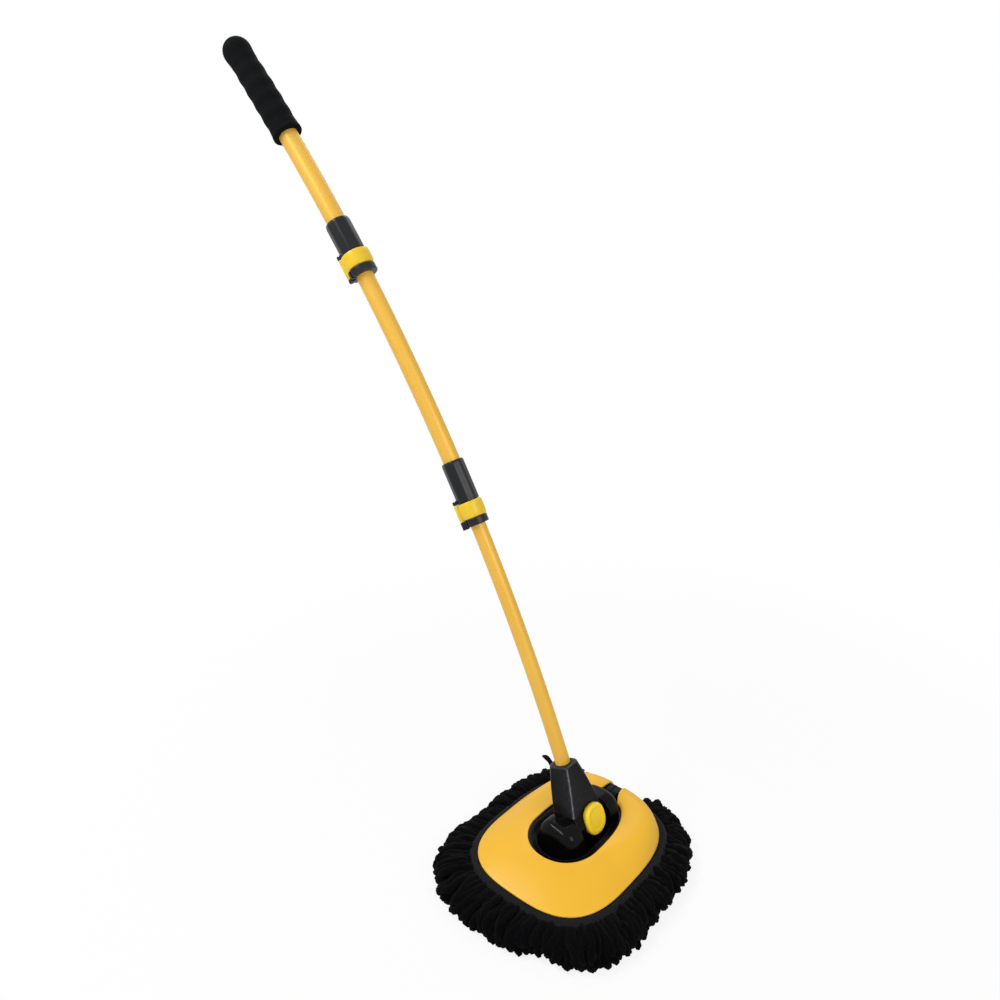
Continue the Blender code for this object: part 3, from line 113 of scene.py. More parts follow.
class Wire:
    """The value of one socket, with maths written as a Python expression."""

    def __init__(self, board: "Board", socket: bpy.types.NodeSocket) -> None:
        """Keep the socket and the board that it's on."""
        self.board = board
        self.socket = socket

    def maths(self, operation: str, *terms: object) -> "Wire":
        """A Math node on the given terms, in their order."""
        return self.board.node("ShaderNodeMath", {"operation": operation}, dict(enumerate(terms)))

    def __add__(self, other: object) -> "Wire":
        """This plus other."""
        return self.maths("ADD", self, other)

    def __radd__(self, other: object) -> "Wire":
        """Other plus this."""
        return self.maths("ADD", other, self)

    def __sub__(self, other: object) -> "Wire":
        """This less other."""
        return self.maths("SUBTRACT", self, other)

    def __rsub__(self, other: object) -> "Wire":
        """Other less this."""
        return self.maths("SUBTRACT", other, self)

    def __mul__(self, other: object) -> "Wire":
        """This times other."""
        return self.maths("MULTIPLY", self, other)

    def sine(self) -> "Wire":
        """The sine of this angle in radians."""
        return self.maths("SINE", self)

    def rise(self, low: float, high: float) -> "Wire":
        """A smooth step: 0 below low and 1 above high."""
        settings = {"interpolation_type": "SMOOTHSTEP"}
        return self.board.node("ShaderNodeMapRange", settings,
                               {"Value": self, "From Min": low, "From Max": high})


def eye_colour(red: int, green: int, blue: int) -> Colour:
    """A colour as the eye reads it, from 0 to 255, in the linear numbers that a shader takes.

    Args:
        red: The red part.
        green: The green part.
        blue: The blue part.

    Returns:
        The linear colour.
    """
    parts = np.array([red, green, blue]) / EYE_FULL
    curve = ((parts + EYE_OFFSET) / (1 + EYE_OFFSET)) ** EYE_POWER
    return tuple(float(part) for part in np.where(parts > EYE_KNEE, curve, parts / EYE_SLOPE))


def shade(colour: Colour, share: float) -> Colour:
    """A colour made lighter or darker by a share."""
    return tuple(part * share for part in colour)


class Board:
    """The nodes of one material."""

    FIRST_COLOUR, SECOND_COLOUR, MIXED_COLOUR = 6, 7, 2

    def __init__(self, name: str) -> None:
        """Start a material with its shader.

        Args:
            name: The material's name.
        """
        self.material = bpy.data.materials.new(name)
        self.material.use_nodes = True
        self.tree = self.material.node_tree
        self.shader = self.tree.nodes["Principled BSDF"]

    def feed(self, socket: bpy.types.NodeSocket, value: object) -> None:
        """Give a socket a link, a number or a colour.

        Args:
            socket: The socket to feed.
            value: A Wire, a number, or three or four numbers.
        """
        if isinstance(value, Wire):
            self.tree.links.new(value.socket, socket)
        elif isinstance(value, (int, float)):
            socket.default_value = value
        else:
            parts = tuple(value)
            room = len(socket.default_value)
            socket.default_value = parts if len(parts) == room else (*parts, 1.0)

    def node(self, kind: str, settings: Mapping[str, object] | None = None,
             values: Mapping[int | str, object] | None = None, output: int | str = 0) -> Wire:
        """Add a node.

        Args:
            kind: The node's type.
            settings: Its settings, set first. "stops" gives a ramp's places and colours.
            values: Values or links for its sockets, by name or number.
            output: The output to return.

        Returns:
            The chosen output.
        """
        made = self.tree.nodes.new(kind)
        for key, value in (settings or {}).items():
            if key == "stops":
                ramp = made.color_ramp.elements
                for index, (place, colour) in enumerate(value):
                    stop = ramp[index] if index < len(ramp) else ramp.new(place)
                    stop.position = place
                    stop.color = (*colour, 1.0)
            else:
                setattr(made, key, value)
        for key, value in (values or {}).items():
            self.feed(made.inputs[key], value)
        return Wire(self, made.outputs[output])

    def place(self, stretch: Sequence[float] = (1, 1, 1), turn: Sequence[float] = (0, 0, 0)) -> Wire:
        """Places on the piece, stretched and turned if asked."""
        values = {"Vector": self.node("ShaderNodeTexCoord", output="Object"), "Rotation": turn,
                  "Scale": stretch}
        return self.node("ShaderNodeMapping", None, values)

    def mark(self, name: str) -> Wire:
        """A number that the mesh carries at each point."""
        return self.node("ShaderNodeAttribute", {"attribute_name": name}, output="Fac")

    def noise(self, size: float, spot: Wire | None = None, detail: float = 3.0,
              roughness: float = 0.5) -> Wire:
        """Soft noise with features of about a size in metres, from 0 to 1."""
        values = {"Vector": spot or self.place(), "Scale": 1 / size, "Detail": detail,
                  "Roughness": roughness}
        return self.node("ShaderNodeTexNoise", None, values)

    def cells(self, size: float) -> Wire:
        """Distance to the nearest of scattered points a size apart, in shares of the size."""
        return self.node("ShaderNodeTexVoronoi", None, {"Vector": self.place(), "Scale": 1 / size})

    def mix(self, share: object, first: object, second: object) -> Wire:
        """A colour between two."""
        values = {0: share, self.FIRST_COLOUR: first, self.SECOND_COLOUR: second}
        return self.node("ShaderNodeMix", {"data_type": "RGBA"}, values, self.MIXED_COLOUR)

    def bump(self, height: Wire, depth: float, under: Wire | None = None) -> Wire:
        """A bumped normal.

        Args:
            height: A height from 0 to 1.
            depth: What a height of 1 stands for, in metres.
            under: A normal that this one lies over.

        Returns:
            The normal.
        """
        values = {"Height": height, "Distance": depth, "Strength": 1.0}
        if under is not None:
            values["Normal"] = under
        return self.node("ShaderNodeBump", None, values)

    def finish(self, **values: object) -> Material:
        """Feed the shader and hand over the material.

        Args:
            values: The shader's sockets by name, with _ for a space.

        Returns:
            The material.
        """
        for key, value in values.items():
            self.feed(self.shader.inputs[key.replace("_", " ")], value)
        return self.material


@dataclass(frozen=True)
class MouldedPlastic:
    """Injection-moulded plastic: a faint cloudy tone, a fine grain, hairline marks, and edges lightened by
    wear and painted highlight.
    """

    name: str
    colour: Colour
    roughness: float
    coat: float = 0.0
    tone: float = 0.04
    cloud_size: float = 0.035
    grain_size: float = 0.0005
    grain_depth: float = 0.000015
    mark_roughness: float = 0.12
    wear_and_highlight_tone: float = 1.25
    wear_and_highlight_share: float = 0.35
    shine: float = 0.5
    coat_roughness: float = 0.12
    patches: int = 8
    hair_size: float = 0.0011
    hair_stretch: Triple = (1, 1, 0.06)
    hair_turn: Triple = (0.5, 0.7, 0.2)
    cloud_roughness: float = 0.08
    wear_and_highlight_roughness: float = 0.15

    def material(self) -> Material:
        """Make the finish.

        Returns:
            The material.
        """
        board = Board(self.name)
        cloud = board.noise(self.cloud_size)
        body = board.mix(cloud, shade(self.colour, 1 - self.tone), shade(self.colour, 1 + self.tone))
        patchy = board.noise(self.cloud_size / self.patches, detail=5.0).rise(0.45, 0.7)
        # The edge mark lightens edges: wear, and where the tone is high, as on black, a painted highlight
        # along ridges and rims.
        wear_and_highlight = board.mark("edge") * (patchy * 0.4 + 0.6) * self.wear_and_highlight_share
        colour = board.mix(wear_and_highlight, body, shade(self.colour, self.wear_and_highlight_tone))
        combed = board.place(self.hair_stretch, self.hair_turn)
        hairs = board.noise(self.hair_size, combed, 2.0).rise(0.62, 0.72)
        rough = (self.roughness + (cloud - 0.5) * self.cloud_roughness + hairs * self.mark_roughness
                 + wear_and_highlight * self.wear_and_highlight_roughness)
        normal = board.bump(board.noise(self.grain_size, detail=2.0), self.grain_depth)
        return board.finish(Base_Color=colour, Roughness=rough, Normal=normal, Coat_Weight=self.coat,
                            Coat_Roughness=self.coat_roughness, Specular_IOR_Level=self.shine)


@dataclass(frozen=True)
class PaintedTube:
    """Gold paint on aluminium tube: fine flake, drawing lines along the tube, and small scuffs."""

    name: str = "gold_paint_finish"
    colour: Colour = eye_colour(238, 188, 76)
    deep: Colour = eye_colour(229, 174, 60)
    metallic: float = 0.12
    roughness: float = 0.42
    lean: float = math.radians(-30)
    line_size: float = 0.0014
    line_stretch: Triple = (1, 1, 0.02)
    cloud_size: float = 0.06
    flake_size: float = 0.0005
    flake_tone: float = 1.12
    flake_share: float = 0.12
    scuff_size: float = 0.004
    relief: float = 0.000004
    coat: float = 0.06
    coat_roughness: float = 0.25
    shine: float = 0.35

    def material(self) -> Material:
        """Make the finish.

        Returns:
            The material.
        """
        board = Board(self.name)
        along = board.place(self.line_stretch, (0, -self.lean, 0))
        lines = board.noise(self.line_size, along, 2.0)
        cloud = board.noise(self.cloud_size)
        flake = board.cells(self.flake_size).rise(0.1, 0.6)
        body = board.mix(lines * 0.35 + cloud * 0.65, self.deep, self.colour)
        colour = board.mix(flake * self.flake_share, body, shade(self.colour, self.flake_tone))
        scuffs = board.noise(self.scuff_size, detail=6.0, roughness=0.7).rise(0.66, 0.74)
        rough = self.roughness + lines * 0.06 + scuffs * 0.12
        normal = board.bump(lines * 0.8 + flake * 0.2, self.relief)
        return board.finish(Base_Color=colour, Metallic=self.metallic, Roughness=rough, Normal=normal,
                            Coat_Weight=self.coat, Coat_Roughness=self.coat_roughness,
                            Specular_IOR_Level=self.shine)


@dataclass(frozen=True)
class CellFoam:
    """Closed-cell foam: small dents of many sizes, darker at the bottom of each dent and paler on its rim.
    """

    name: str = "black_foam_finish"
    colour: Colour = eye_colour(5, 6, 7)
    rim: Colour = eye_colour(14, 15, 17)
    dent_size: float = 0.0013
    fine_size: float = 0.0006
    pore_size: float = 0.0004
    cloud_size: float = 0.02
    relief: float = 0.00016
    roughness: float = 0.8
    shine: float = 0.08

    def material(self) -> Material:
        """Make the finish.

        Returns:
            The material.
        """
        board = Board(self.name)
        dents = board.cells(self.dent_size)
        fine = board.cells(self.fine_size)
        cloud = board.noise(self.cloud_size)
        # Darker towards the bottom of each dent, paler on its rim.
        colour = board.mix(dents.rise(0.25, 0.75) * 0.5 + cloud * 0.2, self.colour, self.rim)
        height = dents * 0.6 + fine * 0.25 + board.noise(self.pore_size) * 0.15
        return board.finish(Base_Color=colour, Roughness=self.roughness + cloud * 0.12,
                            Normal=board.bump(height, self.relief), Specular_IOR_Level=self.shine)


@dataclass(frozen=True)
class ChenillePile:
    """Black microfibre chenille: soft tufts on each finger, some fingers paler than others, and painted
    shade low down.
    """

    name: str = "black_chenille_finish"
    deep: Colour = eye_colour(2, 2, 3)
    pale: Colour = eye_colour(12, 12, 14)
    tuft_size: float = 0.0030
    fibre_size: float = 0.0006
    tuft_depth: float = 0.0012
    fibre_depth: float = 0.0003
    roughness: float = 0.92
    shine: float = 0.03
    sheen: float = 0.015
    sheen_roughness: float = 0.6

    def material(self) -> Material:
        """Make the finish.

        Returns:
            The material.
        """
        board = Board(self.name)
        tufts = board.noise(self.tuft_size, detail=4.0, roughness=0.6)
        fibres = board.noise(self.fibre_size, detail=2.0)
        tone = board.mark("tone") * 0.5 + tufts.rise(0.35, 0.75) * 0.4 + fibres * 0.2
        # Rings low in the fringe are painted darker through the lit mark: painted shade.
        colour = board.mix(tone * board.mark("lit").rise(-0.1, 1.0), self.deep, self.pale)
        coarse = board.bump(tufts, self.tuft_depth)
        normal = board.bump(fibres, self.fibre_depth, coarse)
        return board.finish(Base_Color=colour, Roughness=self.roughness + fibres * 0.08, Normal=normal,
                            Specular_IOR_Level=self.shine, Sheen_Weight=self.sheen,
                            Sheen_Roughness=self.sheen_roughness)


@dataclass(frozen=True)
class WovenBinding:
    """Dark grey binding tape: a plain weave across its own length and width, sewn near each edge."""

    name: str = "grey_binding_finish"
    colour: Colour = eye_colour(22, 23, 25)
    deep: Colour = eye_colour(10, 10, 12)
    thread: float = 0.0009
    stitch: float = 0.0042
    cloud_size: float = 0.012
    relief: float = 0.0002
    roughness: float = 0.82
    sheen: float = 0.04
    shine: float = 0.15

    def material(self) -> Material:
        """Make the finish.

        Returns:
            The material.
        """
        board = Board(self.name)
        spot = board.node("ShaderNodeUVMap", {"uv_map": "tape"})
        length = board.node("ShaderNodeSeparateXYZ", None, {0: spot})
        width = Wire(board, length.socket.node.outputs[1])
        warp = (length * (TURN / self.thread)).sine() * 0.5 + 0.5
        weft = (width * (TURN / self.thread)).sine() * 0.5 + 0.5
        weave = warp * (1 - weft) + weft * (1 - warp)
        dashes = (length * (TURN / self.stitch)).sine().rise(-0.1, 0.2)
        seam = board.mark("seam").rise(0.5, 0.9) * dashes
        cloud = board.noise(self.cloud_size)
        body = board.mix(weave * 0.6 + cloud * 0.4, self.deep, self.colour)
        colour = board.mix(seam * 0.5, body, shade(self.colour, 1.3))
        height = weave * 0.4 + seam * 0.6
        return board.finish(Base_Color=colour, Roughness=self.roughness + cloud * 0.12,
                            Normal=board.bump(height, self.relief), Sheen_Weight=self.sheen,
                            Specular_IOR_Level=self.shine)


@dataclass(frozen=True)
class TurnedSteel:
    """Bright steel with fine turning lines and a little tarnish."""

    name: str = "bright_steel_finish"
    colour: Colour = eye_colour(196, 198, 202)
    dull: Colour = eye_colour(150, 150, 150)
    line_size: float = 0.00025
    line_stretch: Triple = (1, 0.1, 1)
    cloud_size: float = 0.003
    relief: float = 0.000008
    roughness: float = 0.22

    def material(self) -> Material:
        """Make the finish.

        Returns:
            The material.
        """
        board = Board(self.name)
        lines = board.noise(self.line_size, board.place(self.line_stretch), 2.0)
        cloud = board.noise(self.cloud_size, detail=4.0).rise(0.4, 0.8)
        return board.finish(Base_Color=board.mix(cloud * 0.6, self.colour, self.dull), Metallic=1.0,
                            Roughness=self.roughness + lines * 0.14 + cloud * 0.12,
                            Normal=board.bump(lines, self.relief))


@dataclass(frozen=True)
class StudioFloor:
    """A pale floor that takes the mop's shadow and fades to white away from it."""

    name: str = "studio_floor_finish"
    colour: Colour = eye_colour(238, 238, 238)
    near: float = 0.35
    far: float = 1.1
    white_share: float = 0.86
    grain_size: float = 0.05
    roughness: float = 0.75

    def material(self) -> Material:
        """Make the finish.

        Returns:
            The material.
        """
        board = Board(self.name)
        spot = board.place()
        across = board.node("ShaderNodeVectorMath", {"operation": "LENGTH"}, {0: spot}, "Value")
        grain = board.noise(self.grain_size)
        body = board.mix(grain * 0.3, self.colour, shade(self.colour, 0.97))
        board.finish(Base_Color=body, Roughness=self.roughness + grain * 0.05)
        rays = board.node("ShaderNodeLightPath", output="Is Camera Ray")
        glossy = Wire(board, rays.socket.node.outputs["Is Glossy Ray"])
        through = Wire(board, rays.socket.node.outputs["Is Transmission Ray"])
        seen = rays + glossy + through
        share = seen * (across.rise(self.near, self.far) * (1 - self.white_share) + self.white_share)
        glow = board.node("ShaderNodeEmission", None, {"Color": (1, 1, 1, 1), "Strength": 1.0})
        shader = Wire(board, board.shader.outputs[0])
        out = next(node for node in board.tree.nodes if node.type == "OUTPUT_MATERIAL")
        mixed = board.node("ShaderNodeMixShader", None, {0: share, 1: shader, 2: glow})
        board.feed(out.inputs["Surface"], mixed)
        return board.material


class Palette:
    """The material of each slot."""

    def __init__(self) -> None:
        """Make every material once."""
        finishes = {
            Slot.COVER: MouldedPlastic("golden_plastic_finish", eye_colour(236, 181, 46), 0.42, 0.05,
                                       tone=0.02, shine=0.3),
            Slot.LEVER: MouldedPlastic("lemon_plastic_finish", eye_colour(238, 199, 46), 0.36, 0.05,
                                       shine=0.3),
            Slot.BUTTON: MouldedPlastic("button_plastic_finish", eye_colour(255, 217, 40), 0.3, 0.05,
                                        shine=0.35),
            Slot.TUBE: PaintedTube(),
            # Black: its very high edge tone paints highlights along the neck's corners, its socket rim and
            # the tray's lip.
            Slot.BLACK: MouldedPlastic("black_plastic_finish", eye_colour(7, 7, 8), 0.34, 0.12,
                                       tone=0.12, grain_depth=0.000003, wear_and_highlight_tone=200.0,
                                       wear_and_highlight_share=0.6, shine=0.03, coat_roughness=0.07),
            Slot.GREY: MouldedPlastic("grey_plastic_finish", eye_colour(124, 124, 122), 0.45),
            Slot.FOAM: CellFoam(),
            Slot.PILE: ChenillePile(),
            Slot.BINDING: WovenBinding(),
            Slot.STEEL: TurnedSteel(),
        }
        self.materials = {slot: finish.material() for slot, finish in finishes.items()}
        # Satin black: its edge tone paints pale highlights, with wear, along the clamps' rims.
        self.satin = MouldedPlastic("satin_plastic_finish", eye_colour(20, 22, 25), 0.34, 0.0,
                                    tone=0.1, wear_and_highlight_tone=8.0, shine=0.26).material()

    def of(self, slot: Slot) -> Material:
        """The material of a slot."""
        return self.materials[slot]


# Surfaces

def full_turn(count: int) -> Array:
    """Angles at equal steps around a full turn."""
    return np.linspace(0, TURN, count, endpoint=False)


def widened(values: Array, columns: int) -> Array:
    """One number for each row, repeated over its columns."""
    return values[:, None] * np.ones((1, columns))


class Skin:
    """Collects grids of points and makes one smooth mesh of them."""

    MERGE = 1e-6

    def __init__(self) -> None:
        """Start with no points."""
        self.points: list[Array] = []
        self.faces: list[Array] = []
        self.corners: list[Array] = []
        self.marks: dict[str, list[Array]] = {}
        self.count = 0

    def grid(self, points: Array, wrap_rows: bool = False, wrap_columns: bool = True,
             cap_rows: tuple[bool, bool] = (False, False), seal: bool = False,
             tape: Array | None = None, **marks: Array) -> "Skin":
        """Add one grid of points, or many of the same size.

        Args:
            points: Places, shaped rows x columns x 3, or grids x rows x columns x 3.
            wrap_rows: Join the last row to the first.
            wrap_columns: Join the last column to the first.
            cap_rows: Close the first and the last row over a point at their middle.
            seal: Close both end columns of a ring of rows, joining row i to the i-th from the end.
            tape: Corner coordinates, one column more than the points where columns wrap.
            marks: Numbers for each point, shaped as the grid.

        Returns:
            This skin.
        """
        many = points if points.ndim == 4 else points[None]
        copies, rows, columns, _ = many.shape
        index = np.arange(rows * columns).reshape(rows, columns)
        row = np.arange(rows if wrap_rows else rows - 1)[:, None]
        column = np.arange(columns if wrap_columns else columns - 1)[None, :]
        low, high = row, (row + 1) % rows
        left, right = column, (column + 1) % columns
        quads = [np.stack([index[low, left], index[low, right], index[high, right], index[high, left]],
                          axis=-1).reshape(-1, 4)]
        if tape is not None:
            self.corners.append(np.stack([tape[low, left], tape[low, left + 1], tape[low + 1, left + 1],
                                          tape[low + 1, left]], axis=-2).reshape(-1, 2))
        if seal:
            half = np.arange(rows // 2 - 1)
            other = rows - 1 - half
            for side in (0, columns - 1):
                quads.append(np.stack([index[half, side], index[half + 1, side],
                                       index[other - 1, side], index[other, side]], axis=-1))
        extra = []
        triangles = []
        ring = np.arange(columns)
        for wanted, line in zip(cap_rows, (0, rows - 1)):
            if wanted:
                middle = rows * columns + len(extra)
                extra.append(many[:, line].mean(axis=1, keepdims=True))
                triangles.append(np.stack([index[line, ring], index[line, (ring + 1) % columns],
                                           np.full(columns, middle)], axis=-1))
        block = np.concatenate([many.reshape(copies, -1, 3), *extra], axis=1)
        shift = (self.count + np.arange(copies) * block.shape[1])[:, None, None]
        for part in quads + triangles:
            self.faces.append((part[None] + shift).reshape(-1, part.shape[1]))
        self.points.append(block.reshape(-1, 3))
        for name, values in marks.items():
            flat = np.broadcast_to(values, many.shape[:-1]).reshape(copies, -1)
            ends = np.repeat(flat.mean(axis=1, keepdims=True), len(extra), axis=1)
            self.marks.setdefault(name, []).append(np.concatenate([flat, ends], axis=1).ravel())
        self.count += copies * block.shape[1]
        return self

    def build(self, name: str, sharp: float | None = None) -> Object:
        """Make the mesh object.

        Args:
            name: The piece's name.
            sharp: Edges sharper than this many degrees are kept crisp.

        Returns:
            The object, at the origin, with its faces pointing outwards.
        """
        mesh = bpy.data.meshes.new(name)
        places = np.concatenate(self.points)
        loops = np.concatenate([part.ravel() for part in self.faces])
        totals = np.concatenate([np.full(len(part), part.shape[1]) for part in self.faces])
        mesh.vertices.add(len(places))
        mesh.vertices.foreach_set("co", places.ravel())
        mesh.loops.add(len(loops))
        mesh.loops.foreach_set("vertex_index", loops)
        mesh.polygons.add(len(totals))
        mesh.polygons.foreach_set("loop_start", np.concatenate([[0], np.cumsum(totals)[:-1]]))
        for key, parts in self.marks.items():
            layer = mesh.attributes.new(key, "FLOAT", "POINT")
            layer.data.foreach_set("value", np.concatenate(parts).astype(np.float32))
        if self.corners:
            flat = np.zeros((len(loops), 2))
            corners = np.concatenate(self.corners)
            flat[:len(corners)] = corners
            mesh.uv_layers.new(name="tape").data.foreach_set("uv", flat.ravel())
        mesh.update(calc_edges=True)
        mesh.validate()
        shell = bmesh.new()
        shell.from_mesh(mesh)
        bmesh.ops.remove_doubles(shell, verts=shell.verts, dist=self.MERGE)
        bmesh.ops.recalc_face_normals(shell, faces=shell.faces)
        shell.to_mesh(mesh)
        shell.free()
        mesh.shade_smooth()
        if sharp is not None:
            mesh.set_sharp_from_angle(angle=math.radians(sharp))
        piece = bpy.data.objects.new(name, mesh)
        bpy.context.scene.collection.objects.link(piece)
        return piece


def fit(piece: Object, palette: Palette, body: Body, slot: Slot,
        stands_for: Sequence[str] = ()) -> Object:
    """Dress a piece, set it on its body and report it.

    Args:
        piece: The finished piece.
        palette: The materials.
        body: The body that it rides on.
        slot: The slot that its finish comes from.
        stands_for: The frame's nodes that it replaces.

    Returns:
        The piece.
    """
    if not piece.data.materials:
        piece.data.materials.append(palette.of(slot))
    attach(piece, body.value)
    if stands_for:
        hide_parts(*stands_for)
    LOG.info("%s: %d faces on %s", piece.name, len(piece.data.polygons), body.value)
    return piece


def cut(piece: Object, *tools: Object) -> None:
    """Cut closed solids out of a piece, and remove them.

    Args:
        piece: The piece to cut.
        tools: The solids to take away.
    """
    for tool in tools:
        step = piece.modifiers.new(tool.name, "BOOLEAN")
        step.solver = "EXACT"
        step.operation = "DIFFERENCE"
        step.object = tool
    graph = bpy.context.evaluated_depsgraph_get()
    carved = bpy.data.meshes.new_from_object(piece.evaluated_get(graph))
    carved.name = piece.name
    piece.modifiers.clear()
    whole = piece.data
    piece.data = carved
    bpy.data.meshes.remove(whole)
    for tool in tools:
        bpy.data.objects.remove(tool, do_unlink=True)


def rounded(profile: Sequence[Triple], steps: int = 5,
            closed: bool = False) -> Array:
    """Round the corners of a flat profile.

    Each corner is cut at its radius from the corner along both sides, and a quadratic curve with
    the corner as its handle joins the cuts.

    Args:
        profile: Corners as (across, up, radius).
        steps: Points that stand for each rounded corner, less one.
        closed: Whether the last corner joins the first.

    Returns:
        Places along the profile, shaped points x 2.
    """
    corners = np.array([(across, up) for across, up, _ in profile])
    places = []
    last = len(profile) - 1
    for index, (_, _, radius) in enumerate(profile):
        here = corners[index]
        if radius <= 0 or (not closed and index in (0, last)):
            places.append(here[None])
            continue
        before = corners[index - 1] - here
        after = corners[(index + 1) % len(profile)] - here
        start = here + before * min(0.5, radius / np.linalg.norm(before))
        end = here + after * min(0.5, radius / np.linalg.norm(after))
        share = np.linspace(0, 1, steps + 1)[:, None]
        places.append(start * (1 - share) ** 2 + here * 2 * share * (1 - share) + end * share ** 2)
    return np.concatenate(places)


def superellipse(angle: Array, power: float | Array) -> tuple[Array, Array]:
    """The place on a unit superellipse at an angle: each of cosine and sine to 2 / power, signed."""
    across, along = np.cos(angle), np.sin(angle)
    return (np.sign(across) * np.abs(across) ** (2 / power),
            np.sign(along) * np.abs(along) ** (2 / power))


def rod(start: Array, end: Array, radius: float, sides: int) -> Skin:
    """A straight round bar between two places.

    Args:
        start: Middle of one end.
        end: Middle of the other end.
        radius: Its radius.
        sides: Points around it.

    Returns:
        The bar as a skin with one closed grid.
    """
    axis = (end - start) / np.linalg.norm(end - start)
    side = np.cross(axis, (1.0, 0, 0) if abs(axis[0]) < 0.9 else (0, 1.0, 0))
    side /= np.linalg.norm(side)
    other = np.cross(axis, side)
    angle = full_turn(sides)[None, :, None]
    ring = radius * (np.cos(angle) * side + np.sin(angle) * other)
    return Skin().grid(np.stack([start, end])[:, None, :] + ring, cap_rows=(True, True))


@dataclass(frozen=True)
class Oval:
    """A rounded outline in plan that may be longer to the rear (+Y) than to the front."""

    half_width: float
    front: float
    rear: float
    front_power: float
    rear_power: float
    centre_y: float
    samples: int = 20000

    def plan(self, angle: Array, grow: float | Array = 0.0) -> tuple[Array, Array]:
        """X and Y at an angle on the outline made larger by grow.

        A superellipse whose reach and power differ between its front and its rear half.

        Args:
            angle: Angles from +X.
            grow: How much larger the outline is drawn.

        Returns:
            X and Y, in the common shape of both.
        """
        rear = np.sin(angle) > 0
        power = np.where(rear, self.rear_power, self.front_power)
        across, along = superellipse(angle, power)
        return (across * (self.half_width + grow),
                self.centre_y + along * (np.where(rear, self.rear, self.front) + grow))

    def even(self, count: int, first: float = 0.0, last: float = TURN) -> Array:
        """Angles at equal steps of length along the outline.

        Args:
            count: How many.
            first: The first angle.
            last: Where the steps end. It isn't one of the angles.

        Returns:
            The angles.
        """
        angle = np.linspace(first, last, self.samples)
        x, y = self.plan(angle)
        length = np.concatenate([[0], np.cumsum(np.hypot(np.diff(x), np.diff(y)))])
        return np.interp(np.linspace(0, length[-1], count, endpoint=False), length, angle)

    def outward(self, angle: Array) -> Array:
        """Directions in plan, square to the line between the places a small step to each side.

        Args:
            angle: Angles from +X.

        Returns:
            Unit directions that point out, with a last axis of 2.
        """
        step = TURN / self.samples
        ahead = np.stack(self.plan(angle + step), axis=-1)
        behind = np.stack(self.plan(angle - step), axis=-1)
        run = ahead - behind
        run /= np.linalg.norm(run, axis=-1, keepdims=True)
        return np.stack([run[..., 1], -run[..., 0]], axis=-1)

    def ring(self, angle: Array, grow: Array, height: Array) -> Array:
        """Rows of places around the outline, one for each grow and height."""
        x, y = self.plan(angle[None, :], grow[:, None])
        return np.stack([x, y, np.broadcast_to(height[:, None], x.shape)], axis=-1)


@dataclass(frozen=True)
class PoleBend:
    """The arc that the pole follows, in the plane of X and Z through the hinge."""

    hinge: Triple = (0.0, 0.024, 0.060)
    lean: float = math.radians(20.9)
    radius: float = 2.615

    def axes(self, height: float | Array) -> tuple[Array, Array, Array]:
        """The pole's own directions: its lean, plus the height's share of the bend.

        Args:
            height: Length along the pole from the hinge.

        Returns:
            Unit directions out of the bend, along Y, and up the pole.
        """
        turn = self.lean + np.asarray(height, dtype=float) / self.radius
        flat = np.zeros_like(turn)
        out = np.stack([np.cos(turn), flat, np.sin(turn)], axis=-1)
        up = np.stack([-np.sin(turn), flat, np.cos(turn)], axis=-1)
        return out, np.stack([flat, flat + 1, flat], axis=-1), up

    def place(self, out: Array, side: Array, height: Array) -> Array:
        """Places beside the pole.

        The bend's centre plus (radius + out) along the arc's own direction at that height, plus
        side along Y.

        Args:
            out: Distance out of the bend from the pole's middle line.
            side: Distance along Y.
            height: Length along the pole from the hinge.

        Returns:
            The places, with the three arguments' common shape and a last axis of 3.
        """
        out, side, height = np.broadcast_arrays(out, side, height)
        centre = np.array(self.hinge) - self.radius * self.axes(0.0)[0]
        reach, across, _ = self.axes(height)
        return centre + reach * (self.radius + out)[..., None] + across * side[..., None]

    def straight(self, out: Array, side: Array, up: Array) -> Array:
        """Places in the hinge's own straight frame.

        Args:
            out: Distance out of the bend.
            side: Distance along Y.
            up: Distance up the pole.

        Returns:
            The hinge's place plus each distance along its own axis.
        """
        out, side, up = np.broadcast_arrays(out, side, up)
        axes = self.axes(0.0)
        return (np.array(self.hinge) + out[..., None] * axes[0] + side[..., None] * axes[1]
                + up[..., None] * axes[2])

    def turned(self, profile: Array, sides: int) -> Array:
        """Rings around the pole from a profile of (radius, height).

        Args:
            profile: Radii and heights, shaped rows x 2.
            sides: Points around the pole.

        Returns:
            Places, shaped rows x sides x 3.
        """
        angle = full_turn(sides)
        radius, height = profile[:, :1], profile[:, 1:]
        return self.place(radius * np.cos(angle), radius * np.sin(angle), height)


# The mop head

